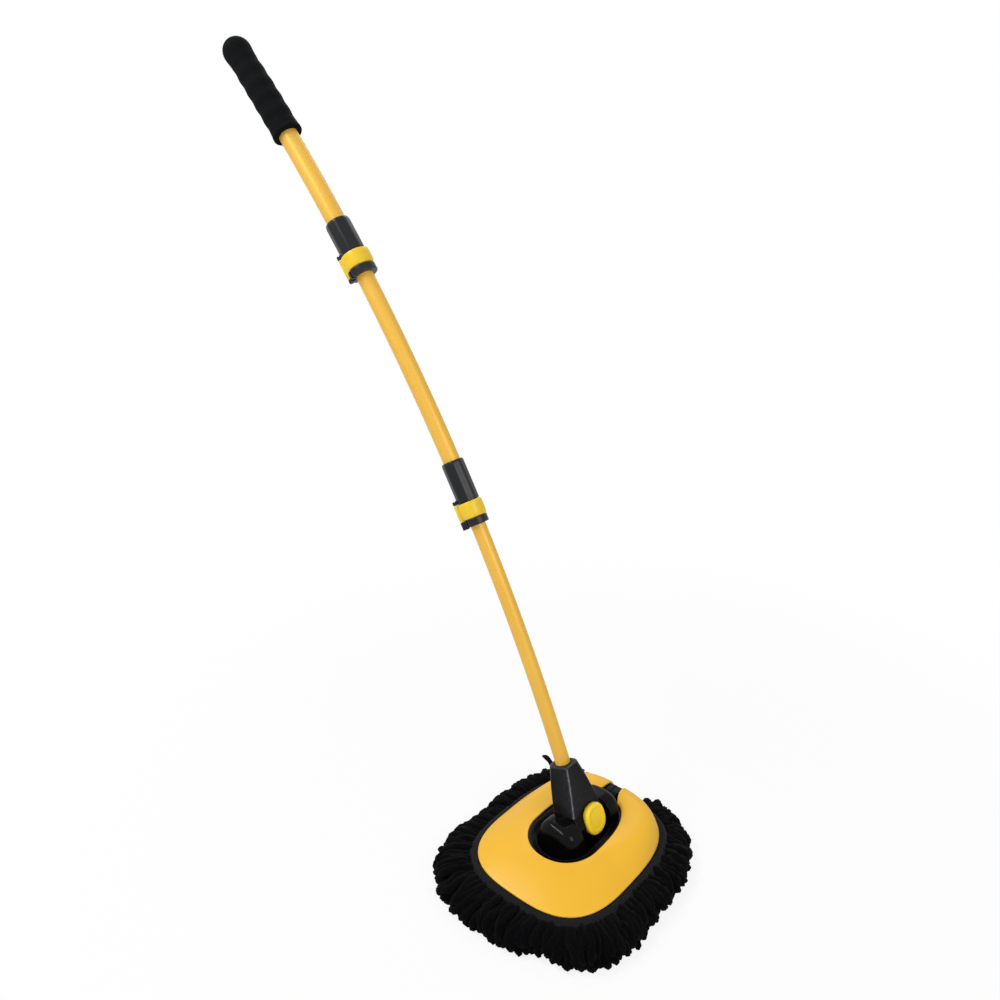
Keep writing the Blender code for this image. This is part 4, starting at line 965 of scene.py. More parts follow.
@dataclass(frozen=True)
class HeadCover:
    """The golden shell over the head, with the opening for the hinge and a slot at the rear."""

    outline: Oval = Oval(0.096, 0.101, 0.1255, 2.9, 3.0, -0.006)
    opening: Oval = Oval(0.0460, 0.0500, 0.0875, 2.1, 2.7, -0.003)
    edge_z: float = 0.0358
    crown_z: float = 0.0555
    wall: float = 0.0025
    side_power: float = 1.5
    rear_power: float = 9.0
    rear_blend: float = 0.8
    rear_bulge: float = 0.0058
    slot_half: float = 0.0105
    slot_flare: float = 0.0075
    flare_from_y: float = 0.083
    flare_to_y: float = 0.104
    lip: float = 0.0011
    lip_steps: int = 6
    lip_fade: float = 1.5
    band: float = 0.047
    slope_step: float = 1e-4
    search_turn: float = 1.0
    search_steps: int = 4000
    columns: int = 260
    rows: int = 30

    def top(self, angle: Array, share: Array) -> Array:
        """The cover's top at an angle and a share of the way from its opening to its edge.

        In plan it runs straight from the opening to the edge. It falls from the crown by the share
        to a power, which is higher the more the outline faces the rear, where the top also bulges.

        Args:
            angle: Angles from +X.
            share: Shares of the way from the opening to the edge.

        Returns:
            The places, in the common shape of both.
        """
        share = np.broadcast_to(share, np.broadcast_shapes(np.shape(angle), np.shape(share)))
        inner = np.stack(self.opening.plan(angle), axis=-1)
        outer = np.stack(self.outline.plan(angle), axis=-1)
        rear = np.clip(self.outline.outward(angle)[..., 1], 0, 1) ** self.rear_blend
        power = self.side_power + (self.rear_power - self.side_power) * rear
        plan = inner + (outer - inner) * share[..., None]
        height = self.crown_z - (self.crown_z - self.edge_z) * np.clip(share, 0, None) ** power
        height = height + 4 * self.rear_bulge * rear * share * (1 - share)
        return np.concatenate([plan, height[..., None]], axis=-1)

    def normal(self, angle: Array, share: Array) -> Array:
        """Directions out of the top, square to its slopes along both parameters.

        Args:
            angle: Angles from +X.
            share: Shares of the way from the opening to the edge.

        Returns:
            Unit directions, in the common shape of both.
        """
        step = self.slope_step
        around = self.top(angle + step, share) - self.top(angle - step, share)
        out = self.top(angle, share + step) - self.top(angle, np.clip(share - step, 0, None))
        square = np.cross(out, around)
        square /= np.linalg.norm(square, axis=-1, keepdims=True)
        return square

    def row_angles(self, share: Array) -> Array:
        """Angles along each row, from the slot's left side around the front to its right side.

        The slot's half width at each place grows by the square of how far the place is into the
        flare. The row starts where the top's X passes that width, and even steps fill the rest.

        Args:
            share: Each row's share of the way from the opening to the edge.

        Returns:
            The angles, shaped rows x columns.
        """
        even = self.outline.even(self.columns, QUARTER, QUARTER + TURN)
        even = np.append(even, QUARTER + TURN)
        near = np.linspace(QUARTER, QUARTER + self.search_turn, self.search_steps)
        angles = []
        for row_share in share:
            x, y, _ = self.top(near, np.array(row_share)).T
            flare = np.clip((self.flare_to_y - y) / (self.flare_to_y - self.flare_from_y), 0, 1)
            spare = -x - (self.slot_half + self.slot_flare * flare ** 2)
            side = np.interp(0.0, spare, near) - QUARTER
            angles.append(QUARTER + side + (even - QUARTER) * (TURN - 2 * side) / TURN)
        return np.array(angles)

    def build(self) -> Object:
        """The shell: its top, rolled edges and underside in one closed grid.

        Both edges roll over by a quarter circle, and the underside is the top moved in by the wall.

        Returns:
            The shell.
        """
        roll = np.linspace(0, QUARTER, self.lip_steps)
        inset = self.lip * (1 - np.cos(roll))
        drop = self.lip * (1 - np.sin(roll))
        ends = self.lip / self.band
        middle = np.linspace(ends, 1 - ends, self.rows)[1:-1]
        share = np.concatenate([inset / self.band, middle, 1 - inset[::-1] / self.band])
        sink = np.concatenate([drop, np.zeros(len(middle)), drop[::-1]])
        angle = self.row_angles(share)
        rows = share[:, None]
        place = self.top(angle, rows)
        out = self.normal(angle, rows)
        upper = place - out * sink[:, None, None]
        lower = place - out * self.wall
        near_edge = np.exp(-np.minimum(share, 1 - share) * self.band / self.lip / self.lip_fade)
        edge = np.concatenate([near_edge, np.zeros(len(near_edge))])
        skin = Skin().grid(np.concatenate([upper, lower[::-1]]), wrap_rows=True, wrap_columns=False,
                           seal=True, edge=widened(edge, angle.shape[1]))
        return skin.build("head_cover_shell", 50)


@dataclass(frozen=True)
class HeadBase:
    """The black tray inside the cover's opening, the two hinge ears and the grooved rear tongue."""

    cover: HeadCover
    bend: PoleBend
    plate_inset: float = 0.0025
    plate_bottom: float = 0.0253
    plate_top: float = 0.0295
    underlap: float = 0.003
    rim_z: float = 0.052
    rim_width: float = 0.0118
    rim_fall: float = 0.0038
    draft: float = 0.0022
    barrel_half: float = 0.0285
    ear_length: float = 0.026
    ear_half: float = 0.029
    ear_rise: float = 0.0192
    ear_shoulder: float = 0.008
    ear_fillet: float = 0.0135
    ear_power: float = 2.6
    cap_radius: float = 0.0068
    cap_depth: float = 0.004
    tongue_half: float = 0.0090
    tongue_drop: float = 0.0030
    groove: float = 0.0022
    hem_tuck: float = 0.0028
    rim_rounds: tuple[float, float, float, float] = (0.0006, 0.003, 0.0016, 0.003)
    floor_reach: float = 0.012
    plate_reach: float = 0.004
    plate_round: float = 0.0008
    lip_highlight: float = 0.12
    lip_fade: float = 0.0006
    ear_round: float = 0.0008
    foot_flare: float = 0.0022
    foot_fade: float = 0.0016
    tongue_round: float = 0.0007
    tongue_depth: float = 0.02
    tongue_rows: int = 26
    columns: int = 220

    def tray(self) -> Object:
        """The plate and the tray: a rounded profile of growth and height carried around the ovals.

        Returns:
            The plate with its tray.
        """
        opening, outline = self.cover.opening, self.cover.outline
        angle = opening.even(self.columns)
        lip_z = self.rim_z - self.rim_fall
        pocket = -self.rim_width
        outer_round, inner_round, lip_round, floor_round = self.rim_rounds
        inner = rounded([(self.underlap, self.plate_top, 0), (self.underlap, self.rim_z, outer_round),
                         (-self.underlap, self.rim_z, inner_round), (pocket, lip_z, lip_round),
                         (pocket - self.draft, self.plate_top, floor_round),
                         (pocket - self.floor_reach, self.plate_top, 0)], 6)
        side, inward = -self.plate_inset, -self.plate_inset - self.plate_reach
        outer = rounded([(inward, self.plate_bottom, 0), (side, self.plate_bottom, self.plate_round),
                         (side, self.plate_top, self.plate_round), (inward, self.plate_top, 0)], 3)
        rows = np.concatenate([outline.ring(angle, outer[:, 0], outer[:, 1]),
                               opening.ring(angle, inner[:, 0], inner[:, 1])])
        heights = np.concatenate([outer[:, 1], inner[:, 1]])
        # Painted highlight along the tray's inner lip.
        lip = self.lip_highlight * np.exp(-np.abs(heights - lip_z) / self.lip_fade)
        skin = Skin().grid(rows, cap_rows=(True, True), edge=widened(lip, len(angle)))
        return skin.build("hinge_tray", 40)

    def ear(self, name: str, side: int) -> Object:
        """A hinge ear: a domed outline carried along Y, drawn in over its outer side.

        The outline is a superellipse above two straight legs, and its inset follows a quarter
        circle of the fillet.

        Args:
            name: The piece's name.
            side: -1 for the front ear, 1 for the rear one.

        Returns:
            The ear.
        """
        start = self.barrel_half
        roll = np.linspace(0, QUARTER, 13)
        inset = np.concatenate([self.ear_round * (1 - np.sin(roll[::3])),
                                self.ear_fillet * (1 - np.cos(roll))])
        reach = np.concatenate([self.ear_round * (1 - np.cos(roll[::3])),
                                self.ear_length - self.ear_fillet * (1 - np.sin(roll))])
        angle = np.linspace(0, math.pi, 49)
        across, up = superellipse(angle, self.ear_power)
        half = self.ear_half - inset[:, None]
        shoulder = self.bend.hinge[2] - self.ear_shoulder
        rise = self.ear_rise + self.ear_shoulder - inset[:, None]
        foot = (self.plate_bottom + self.plate_top) / 2
        leg = np.linspace(foot, shoulder, 7)[:-1]
        beside = np.broadcast_to(half, (len(half), len(leg)))
        x = np.concatenate([beside, across * half, -beside], axis=1)
        z = np.concatenate([np.broadcast_to(leg, beside.shape), shoulder + up * rise,
                            np.broadcast_to(leg[::-1], beside.shape)], axis=1)
        flare = self.foot_flare * np.exp(-(z - self.plate_top).clip(0) / self.foot_fade)
        x = x + np.sign(x) * flare
        y = np.broadcast_to(self.bend.hinge[1] + side * (start + reach)[:, None], x.shape)
        skin = Skin().grid(np.stack([x, y, z], axis=-1), cap_rows=(True, True), edge=np.zeros(x.shape))
        return skin.build(name, 50)

    def cap_recess(self) -> Object:
        """The solid that opens the rear ear over its pin's cap.

        Returns:
            The solid, for cutting.
        """
        outer = self.bend.hinge[1] + self.barrel_half + self.ear_length
        low = np.array([0, outer - self.cap_depth, self.bend.hinge[2]])
        return rod(low, low + np.array([0, self.cap_depth * 2, 0]), self.cap_radius, 40).build("recess")

    def tongue(self) -> Object:
        """The tongue in the cover's slot: a grooved section carried to the rear under the crown.

        Its top lies under the cover's by a drop, and its foot is in the plate.

        Returns:
            The tongue.
        """
        inner_y, outer_y = self.cover.top(np.array([QUARTER]), np.array([[0.0], [1.0]]))[:, 0, 1]
        end = (outer_y - self.hem_tuck - inner_y) / (outer_y - inner_y)
        share = np.linspace(0, end, self.tongue_rows)
        run = self.cover.top(np.full(self.tongue_rows, QUARTER), share)
        opening = self.cover.opening
        start = opening.centre_y + opening.rear - self.rim_width / 2
        y = np.concatenate([[start], run[:, 1]])
        top = np.concatenate([run[:1, 2], run[:, 2]]) - self.tongue_drop
        half, groove, soft = self.tongue_half, self.groove / 2, self.tongue_round
        low = -self.tongue_depth
        foot = (self.plate_bottom + self.plate_top) / 2
        section = rounded([(-half, low, 0), (half, low, 0), (half, 0, soft), (groove, 0, soft / 2),
                           (groove, -groove, soft / 2), (-groove, -groove, soft / 2),
                           (-groove, 0, soft / 2), (-half, 0, soft)], 4, closed=True)
        z = np.where(section[:, 1] < low / 2, foot, top[:, None] + section[:, 1])
        places = np.stack(np.broadcast_arrays(section[:, 0], y[:, None], z), axis=-1)
        return Skin().grid(places, cap_rows=(True, True), edge=np.zeros(z.shape)).build("rear_tongue", 40)


@dataclass(frozen=True)
class Hem:
    """The binding tape that shows as a dark band around the cover."""

    outline: Oval
    width: float = 0.0172
    tuck: float = -0.0022
    reach: float = 0.0115
    thickness: float = 0.0014
    tuck_z: float = 0.0312
    crest_z: float = 0.0338
    outer_z: float = 0.0275
    crest: float = 0.0004
    crest_round: float = 0.0012
    shoulder_share: float = 0.6
    shoulder_fall: float = 0.0012
    shoulder_round: float = 0.004
    tip: float = 0.0006
    tip_round: float = 0.001
    ripple: float = 0.00025
    ripples: int = 97
    inner_seam: float = 0.0022
    outer_seam: float = 0.0018
    seam_width: float = 0.0006
    columns: int = 400

    def build(self) -> Object:
        """The band: a thin curved profile carried around the head, with a tape's own coordinates.

        It ripples by a sine of the angle, which grows with the distance out.

        Returns:
            The band.
        """
        angle = self.outline.even(self.columns)
        shoulder = (self.reach * self.shoulder_share, self.crest_z - self.shoulder_fall,
                    self.shoulder_round)
        upper = rounded([(self.tuck, self.tuck_z, 0), (self.crest, self.crest_z, self.crest_round),
                         shoulder, (self.reach, self.outer_z, 0)], 6)
        lower = upper[::-1] - np.array([0, self.thickness])
        tip = (upper[-1, 0] + self.tip, upper[-1, 1] - self.thickness * 0.5, self.tip_round)
        ends = rounded([(*upper[-1], 0), tip, (*lower[0], 0)], 4)[1:-1]
        profile = np.concatenate([upper, ends, lower])
        rows = self.outline.ring(angle, profile[:, 0], profile[:, 1])
        outward = (profile[:, 0] / self.reach).clip(0, 1)[:, None]
        rows[..., 2] += self.ripple * np.sin(angle * self.ripples) * outward
        run = np.concatenate([[0], np.cumsum(np.linalg.norm(np.diff(profile, axis=0), axis=1))])
        run = np.append(run, run[-1] + self.thickness)
        x, y = self.outline.plan(np.append(angle, TURN))
        length = np.concatenate([[0], np.cumsum(np.hypot(np.diff(x), np.diff(y)))])
        tape = np.stack(np.broadcast_arrays(length[None, :], run[:, None]), axis=-1)
        near = np.minimum(np.abs(profile[:, 0] - self.inner_seam),
                          np.abs(profile[:, 0] - self.reach + self.outer_seam))
        seam = widened(np.exp(-near / self.seam_width), len(angle))
        return Skin().grid(rows, wrap_rows=True, tape=tape, seam=seam).build("mop_binding")

    def length(self) -> float:
        """How long the tape is along its own middle, around the outline."""
        x, y = self.outline.plan(np.linspace(0, TURN, 2000), (self.tuck + self.reach) / 2)
        return float(np.hypot(np.diff(x), np.diff(y)).sum())


@dataclass(frozen=True)
class Finger:
    """The shape that every chenille finger shares."""

    radius: float = 0.0052
    rows: int = 9
    sides: int = 8
    lump: float = 0.2
    swell: tuple[float, ...] = (0.6, 0.9, 1.05, 0.98, 1.04, 0.98, 1.0, 0.86, 0.5)

    def skin(self, path: Array, width: Array, lit: Array, tone: Array, draw: np.random.Generator) -> Skin:
        """Rings carried along each finger's path, drawn in at both ends and lumpy in between.

        Args:
            path: The middle line of each finger, shaped fingers x rows x 3.
            width: Each finger's share of the usual radius.
            lit: How high each ring lies in the fringe, from 0 to 1; lower rings get painted shade.
            tone: Each finger's own tone, from 0 to 1.
            draw: The seeded source of the lumps.

        Returns:
            The fingers as one skin.
        """
        run = np.gradient(path, axis=1)
        run /= np.linalg.norm(run, axis=-1, keepdims=True)
        side = np.cross(run, np.array([0, 0, 1.0]))
        side /= np.linalg.norm(side, axis=-1, keepdims=True)
        up = np.cross(side, run)
        share = np.linspace(0, 1, self.rows)
        swell = np.interp(share, np.linspace(0, 1, len(self.swell)), self.swell)
        lumps = 1 + self.lump * (draw.random((*path.shape[:2], self.sides)) - 0.5) * 2
        radius = self.radius * width[:, None, None] * swell[None, :, None] * lumps
        angle = full_turn(self.sides)
        ring = (radius * np.cos(angle))[..., None] * side[:, :, None]
        ring = ring + (radius * np.sin(angle))[..., None] * up[:, :, None]
        return Skin().grid(path[:, :, None] + ring, cap_rows=(True, True),
                           tone=tone[:, None, None] * np.ones((1, self.rows, self.sides)),
                           lit=lit[:, :, None] * np.ones((1, 1, self.sides)))


@dataclass(frozen=True)
class Fringe:
    """The skirt of chenille fingers around the head, in four quarters."""

    outline: Oval
    finger: Finger = Finger()
    layers: tuple[tuple[float, float, float, float], ...] = (
        (0.0240, 0.0120, 0.95, 0.0050), (0.0200, 0.0090, 1.0, 0.0035), (0.0145, 0.0065, 1.0, 0.0015),
        (0.0090, 0.0055, 0.97, 0.0005))
    per_quarter: int = 36
    side_reach: float = 0.0490
    front_reach: float = 0.0500
    rear_reach: float = 0.0320
    inner: float = 0.0015
    sway: float = 0.0075
    spread: float = 0.2
    fullness: tuple[tuple[float, float], ...] = (
        (0, 0.8), (22, 0.79), (48, 0.98), (74, 1.35), (84, 0.6), (107, 0.6), (118, 0.95), (128, 1.1),
        (150, 0.88), (165, 0.85), (190, 0.76), (205, 0.95), (228, 1.12), (248, 1.0), (270, 0.95),
        (280, 0.95), (297, 0.66), (312, 0.98), (328, 0.96), (346, 0.84))
    stray_angle: float = math.radians(138)
    stray_way: float = math.radians(157)
    stray_length: float = 0.053
    stray_rise: float = 0.019
    stray_width: float = 0.62
    perk: float = 0.009
    perk_angle: float = math.radians(131)
    perk_width: float = 0.3
    curl: float = 0.0022
    tip_rise: float = 0.004
    bow: float = 1.35
    fall_power: float = 1.9
    lit_height: float = 0.034
    ground: float = 0.0045
    seed: int = 20

    def stray(self) -> Array:
        """The path of the one finger that stands off: straight in plan, its height following a sine.

        Returns:
            The path, shaped 1 x rows x 3.
        """
        share = np.linspace(0, 1, self.finger.rows)
        x, y = self.outline.plan(self.stray_angle, self.inner)
        run = self.stray_length * share
        height = self.layers[0][0] + self.stray_rise * np.sin(share * 0.75 * math.pi)
        return np.stack([x + math.cos(self.stray_way) * run, y + math.sin(self.stray_way) * run, height],
                        axis=-1)[None]

    def quarter(self, name: str, middle: float, number: int) -> Object:
        """The fingers of one quarter.

        Each path leaves the pad's side, swells over, and falls towards the ground by a power of
        the share along it, while it sways sideways by the square of that share.

        Args:
            name: The piece's name.
            middle: The angle of the quarter's middle.
            number: The quarter's number, which seeds its draws.

        Returns:
            The quarter.
        """
        draw = np.random.default_rng(self.seed + number)
        first, last = middle - TURN / 8, middle + TURN / 8
        step = (last - first) / self.per_quarter
        share = np.linspace(0, 1, self.finger.rows)[None, :]
        paths, widths, lights, tones = [], [], [], []
        for layer, (root_z, tip_z, length, lift) in enumerate(self.layers):
            count = self.per_quarter
            angle = self.outline.even(count, first, last) + step * (0.25 + 0.5 * (layer % 2))
            angle = angle + step * 0.35 * (draw.random(count) - 0.5)
            out = self.outline.outward(angle)
            along = np.stack([-out[:, 1], out[:, 0]], axis=-1)
            x, y = self.outline.plan(angle, self.inner)
            ahead, behind = np.clip(-np.sin(angle), 0, 1), np.clip(np.sin(angle), 0, 1)
            reach = self.side_reach + (self.front_reach - self.side_reach) * ahead ** 2
            reach = reach + (self.rear_reach - self.side_reach) * behind ** 2
            bearing = np.degrees(np.arctan2(y, x))
            reach = reach * np.interp(bearing, *zip(*self.fullness), period=360)
            ragged = 1 + self.spread * (draw.random(count) - 0.6)
            reach = (reach * length * ragged - self.finger.radius * 0.5)[:, None]
            sway = (self.sway * draw.standard_normal(count).clip(-1.6, 1.6))[:, None]
            curl = (self.curl * draw.standard_normal(count))[:, None]
            aside = sway * share ** 2 + curl * np.sin(share * TURN)
            root = np.stack([x, y], axis=-1)[:, None]
            plan = root + out[:, None] * (reach * np.sin(share * self.bow) / math.sin(self.bow))[..., None]
            plan = plan + along[:, None] * aside[..., None]
            tip = (tip_z + self.tip_rise * (draw.random(count) - 0.3))[:, None].clip(self.ground)
            high = lift * (1 - 0.9 * behind ** 2) * (0.6 + 0.8 * draw.random(count))
            near = np.exp(-((angle - self.perk_angle) / self.perk_width) ** 2)
            high = (high + (self.perk * near if layer == 0 else 0))[:, None]
            fall = (root_z - tip) * share ** self.fall_power
            height = root_z - fall + high * np.sin(math.pi * share ** 0.8)
            paths.append(np.concatenate([plan, height.clip(self.ground)[..., None]], axis=-1))
            widths.append(0.92 + 0.25 * draw.random(count))
            # Each ring's height sets its painted shade.
            lights.append(np.clip(height / self.lit_height, 0, 1))
            tones.append(draw.random(count))
        if first < self.stray_angle < last:
            paths.append(self.stray())
            widths.append(np.array([self.stray_width]))
            lights.append(np.ones((1, self.finger.rows)))
            tones.append(np.array([0.5]))
        skin = self.finger.skin(np.concatenate(paths), np.concatenate(widths), np.concatenate(lights),
                                np.concatenate(tones), draw)
        return skin.build(name)


@dataclass(frozen=True)
class Pad:
    """The stuffed pad under the base plate, and the short pile that hangs from it."""

    outline: Oval
    inset: float = 0.0023
    top: float = 0.0250
    bottom: float = 0.0045
    edge: float = 0.008
    crown: float = 0.0012
    crown_round: float = 0.01
    dent: float = 0.0008
    dent_rate: float = 420
    innermost: float = 0.02
    columns: int = 160
    rings: int = 14
    pile_field: float = 0.12
    pile_lift: float = 0.001
    pile_pitch: float = 0.0125
    pile_length: float = 0.022
    pile_radius: float = 0.0036
    ground: float = 0.0038
    seed: int = 5

    def build(self) -> Object:
        """The pad: its outline drawn in to the middle, with a rolled edge and a dented underside.

        The dents are a product of sines along X and Y.

        Returns:
            The pad.
        """
        angle = self.outline.even(self.columns)
        roll = np.linspace(QUARTER, 0, 9)
        inward = np.linspace(1, self.innermost, self.rings)
        side = rounded([(-self.inset, self.top, 0),
                        (-self.inset + self.crown, self.top * 0.6, self.crown_round),
                        (-self.inset, self.bottom + self.edge, 0)], 6)
        grow = -self.inset - self.edge * (1 - np.sin(roll))
        low = self.bottom + self.edge * (1 - np.cos(roll))
        rows = [self.outline.ring(angle, side[:, 0], side[:, 1]),
                self.outline.ring(angle, grow, low)]
        rim = self.outline.ring(angle, np.array([grow[-1]]), np.array([low[-1]]))
        middle = np.array([0, self.outline.centre_y, 0])
        shrunk = middle + (rim - middle) * np.stack([inward, inward, np.ones(self.rings)], axis=-1)[:, None]
        across, along = np.sin(shrunk[..., 0] * self.dent_rate), np.sin(shrunk[..., 1] * self.dent_rate)
        shrunk[..., 2] = self.bottom + self.dent * across * along * (1 - inward[:, None] ** 4)
        every = np.concatenate([*rows, shrunk[1:]])
        # The pad gets a fixed middling tone and painted shade.
        middling = np.full(every.shape[:2], 0.4)
        return Skin().grid(every, cap_rows=(True, True), tone=middling, lit=middling).build("mop_pad_body")

    def pile(self) -> Object:
        """Short fingers lying under the pad, each pointing out from its middle.

        Returns:
            The pile.
        """
        draw = np.random.default_rng(self.seed)
        finger = Finger(self.pile_radius, 5, 7)
        steps = np.arange(-self.pile_field, self.pile_field, self.pile_pitch)
        x, y = (part.ravel() for part in np.meshgrid(steps, steps))
        x = x + self.pile_pitch * 0.5 * (draw.random(x.shape) - 0.5)
        y = y + self.pile_pitch * 0.5 * (draw.random(y.shape) - 0.5)
        middle = self.outline.centre_y
        bearing = np.arctan2(y - middle, x)
        edge_x, edge_y = self.outline.plan(bearing, -self.inset - self.edge)
        inside = np.hypot(x, y - middle) < 0.97 * np.hypot(edge_x, edge_y - middle)
        x, y, bearing = x[inside], y[inside], bearing[inside]
        turn = bearing + 0.8 * draw.standard_normal(len(x)).clip(-1.5, 1.5)
        share = np.linspace(0, 1, finger.rows)[None, :]
        length = self.pile_length * (0.7 + 0.4 * draw.random(len(x)))[:, None]
        plan_x = x[:, None] + np.cos(turn)[:, None] * length * share
        plan_y = y[:, None] + np.sin(turn)[:, None] * length * share
        root = self.bottom + self.pile_lift
        height = np.broadcast_to(root - (root - self.ground) * share ** 0.5, plan_x.shape)
        path = np.stack([plan_x, plan_y, height], axis=-1)
        # The pile under the pad gets a low lit value: painted shade.
        skin = finger.skin(path, np.full(len(x), 0.95), np.full(path.shape[:2], 0.3),
                           draw.random(len(x)), draw)
        return skin.build("mop_pad_pile")


# The hinge's moving part

@dataclass(frozen=True)
class Neck:
    """The black knuckle that carries the pole, with its pocket for the button and its lock."""

    bend: PoleBend
    barrel_radius: float = 0.0205
    barrel_half: float = 0.028
    half_depth: float = 0.0172
    top_half_depth: float = 0.0174
    foot_half: float = 0.0272
    top_half: float = 0.0137
    shoulder: float = 0.014
    top: float = 0.078
    flare_power: float = 1.15
    corner: float = 0.0030
    top_corner: float = 0.0112
    rim: float = 0.0018
    socket: float = 0.0098
    socket_floor: float = 0.040
    lock_side: float = 0.005
    button_half_width: float = 0.0184
    button_half_height: float = 0.0199
    button_lift: float = 0.0008
    button_power: float = 2.3
    pocket_floor: float = 0.0145
    cavity: Triple = (0.0165, 0.0049, 0.0124)
    spring_side: float = 0.0125
    spring_radius: float = 0.0046
    spring_floor: float = 0.0064
    blend: float = 0.0016
    mouth: float = 0.0006
    mouth_highlight: float = 0.2
    side_highlight: float = 0.15
    ridge_fade: float = 1.5
    pocket_reach: float = 0.034
    overlap: float = 0.001
    pin_bore: float = 0.0038
    pin_reach: float = 0.002
    rows: int = 58

    def section(self, height: Array, inset: Array) -> Array:
        """Rounded rectangles across the pole, one for each height.

        The half depth is the larger of the barrel's and the neck's, smoothly joined, and the half
        width falls from the shoulder to the top by a power. Four quarter circles make the corners.

        Args:
            height: Heights along the pole.
            inset: How much smaller each rectangle is drawn.

        Returns:
            Distances out and to the side, each shaped heights x points.
        """
        share = np.clip(height / self.top, 0, 1)
        neck = self.half_depth + (self.top_half_depth - self.half_depth) * share
        barrel = np.sqrt(np.clip(self.barrel_radius ** 2 - height ** 2, 1e-8, None))
        gap = (barrel - neck) / self.blend
        depth = neck + self.blend * np.logaddexp(0, gap) - inset
        rise = np.clip((height - self.shoulder) / (self.top - self.shoulder), 0, 1)
        low = np.clip(height / self.shoulder, 0, 1)
        foot = self.barrel_half - (self.barrel_half - self.foot_half) * low
        width = self.top_half + (foot - self.top_half) * (1 - rise) ** self.flare_power - inset
        soft = self.rim + (self.corner - self.rim) * low ** 1.5
        rounder = soft + (self.top_corner - self.corner) * rise ** 3
        quarter = np.linspace(0, QUARTER, 9)
        out, side = [], []
        for turn, (x_side, y_side) in enumerate(((1, 1), (-1, 1), (-1, -1), (1, -1))):
            angle = quarter + turn * QUARTER
            radius = np.minimum((soft if turn == 3 else rounder) - inset * 0.5, width * 0.95)[:, None]
            out.append(x_side * (depth[:, None] - radius) + radius * np.cos(angle))
            side.append(y_side * (width[:, None] - radius) + radius * np.sin(angle))
        return np.concatenate(out, axis=1), np.concatenate(side, axis=1)

    def shell(self) -> Object:
        """The outside, the tube socket and the barrel's lower half in one grid.

        Below the hinge the section at the hinge is swung about Y by a quarter turn each way, and
        both swings meet under the barrel.

        Returns:
            The neck, before its cavities are cut.
        """
        roll = (QUARTER, 0.9, 0.4, 0)
        below = np.linspace(self.top - self.rim, 0, self.rows)[1:]
        heights = np.concatenate([[self.top - self.rim * (1 - math.sin(turn)) for turn in roll], below])
        inset = np.concatenate([[self.rim * (1 - math.cos(turn)) for turn in roll], np.zeros(len(below))])
        out, side = self.section(heights, inset)
        upper = self.bend.place(out, side, heights[:, None])
        swing = np.linspace(0, QUARTER, 14)[1:, None]
        lower = self.bend.straight(out[-1] * np.cos(swing), side[-1] + 0 * swing,
                                   -np.abs(out[-1]) * np.sin(swing))
        angle = np.arctan2(side[0], out[0])
        depths = np.array([self.top, self.top, self.socket_floor])
        radii = np.array([self.socket + self.mouth, self.socket, self.socket])
        depths[1] -= self.mouth
        bore = self.bend.place(radii[:, None] * np.cos(angle), radii[:, None] * np.sin(angle),
                               depths[:, None])
        rows = np.concatenate([bore[::-1], upper, lower])
        # Painted highlights: a bright line down one front corner of the neck, dimmer lines down its other
        # corners, and a line round the top rim at the socket.
        ridge = np.exp(-np.abs(np.arange(9) - 4) / self.ridge_fade)
        dim = ridge * self.side_highlight
        edge = np.zeros(rows.shape[:2])
        edge[3:6] = self.mouth_highlight
        edge[6:len(bore) + 48] = np.concatenate([dim, dim, dim, ridge])
        return Skin().grid(rows, cap_rows=(True, False), edge=edge).build("neck_shell")

    def tools(self) -> list[Object]:
        """The solids that open the button's pocket, the lock's cavity, its wells and the pin's bore.

        Returns:
            The solids, for cutting.
        """
        across, along = superellipse(full_turn(96), self.button_power)
        oval = self.bend.straight(np.array([self.pocket_floor, self.pocket_reach])[:, None],
                                  self.lock_side + self.button_half_width * across,
                                  self.button_lift + self.button_half_height * along)
        pocket = Skin().grid(oval, cap_rows=(True, True))
        far, side, tall = self.cavity
        deep = self.pocket_floor + self.overlap
        corners = np.array([(-side, -tall), (side, -tall), (side, tall), (-side, tall)])
        block = self.bend.straight(np.array([-far, deep])[:, None], self.lock_side + corners[:, 0],
                                   corners[:, 1])
        box = Skin().grid(block, cap_rows=(True, True))
        made = [pocket.build("pocket"), box.build("cavity")]
        ends = [self.bend.straight(0.0, way * (self.barrel_half + self.pin_reach), 0.0) for way in (-1, 1)]
        made.append(rod(*ends, self.pin_bore, 32).build("bore"))
        for way in (-1, 1):
            low, high = (self.bend.straight(at, self.lock_side + way * self.spring_side, self.button_lift)
                         for at in (self.spring_floor, deep))
            made.append(rod(low, high, self.spring_radius, 32).build(f"well_{way}"))
        return made


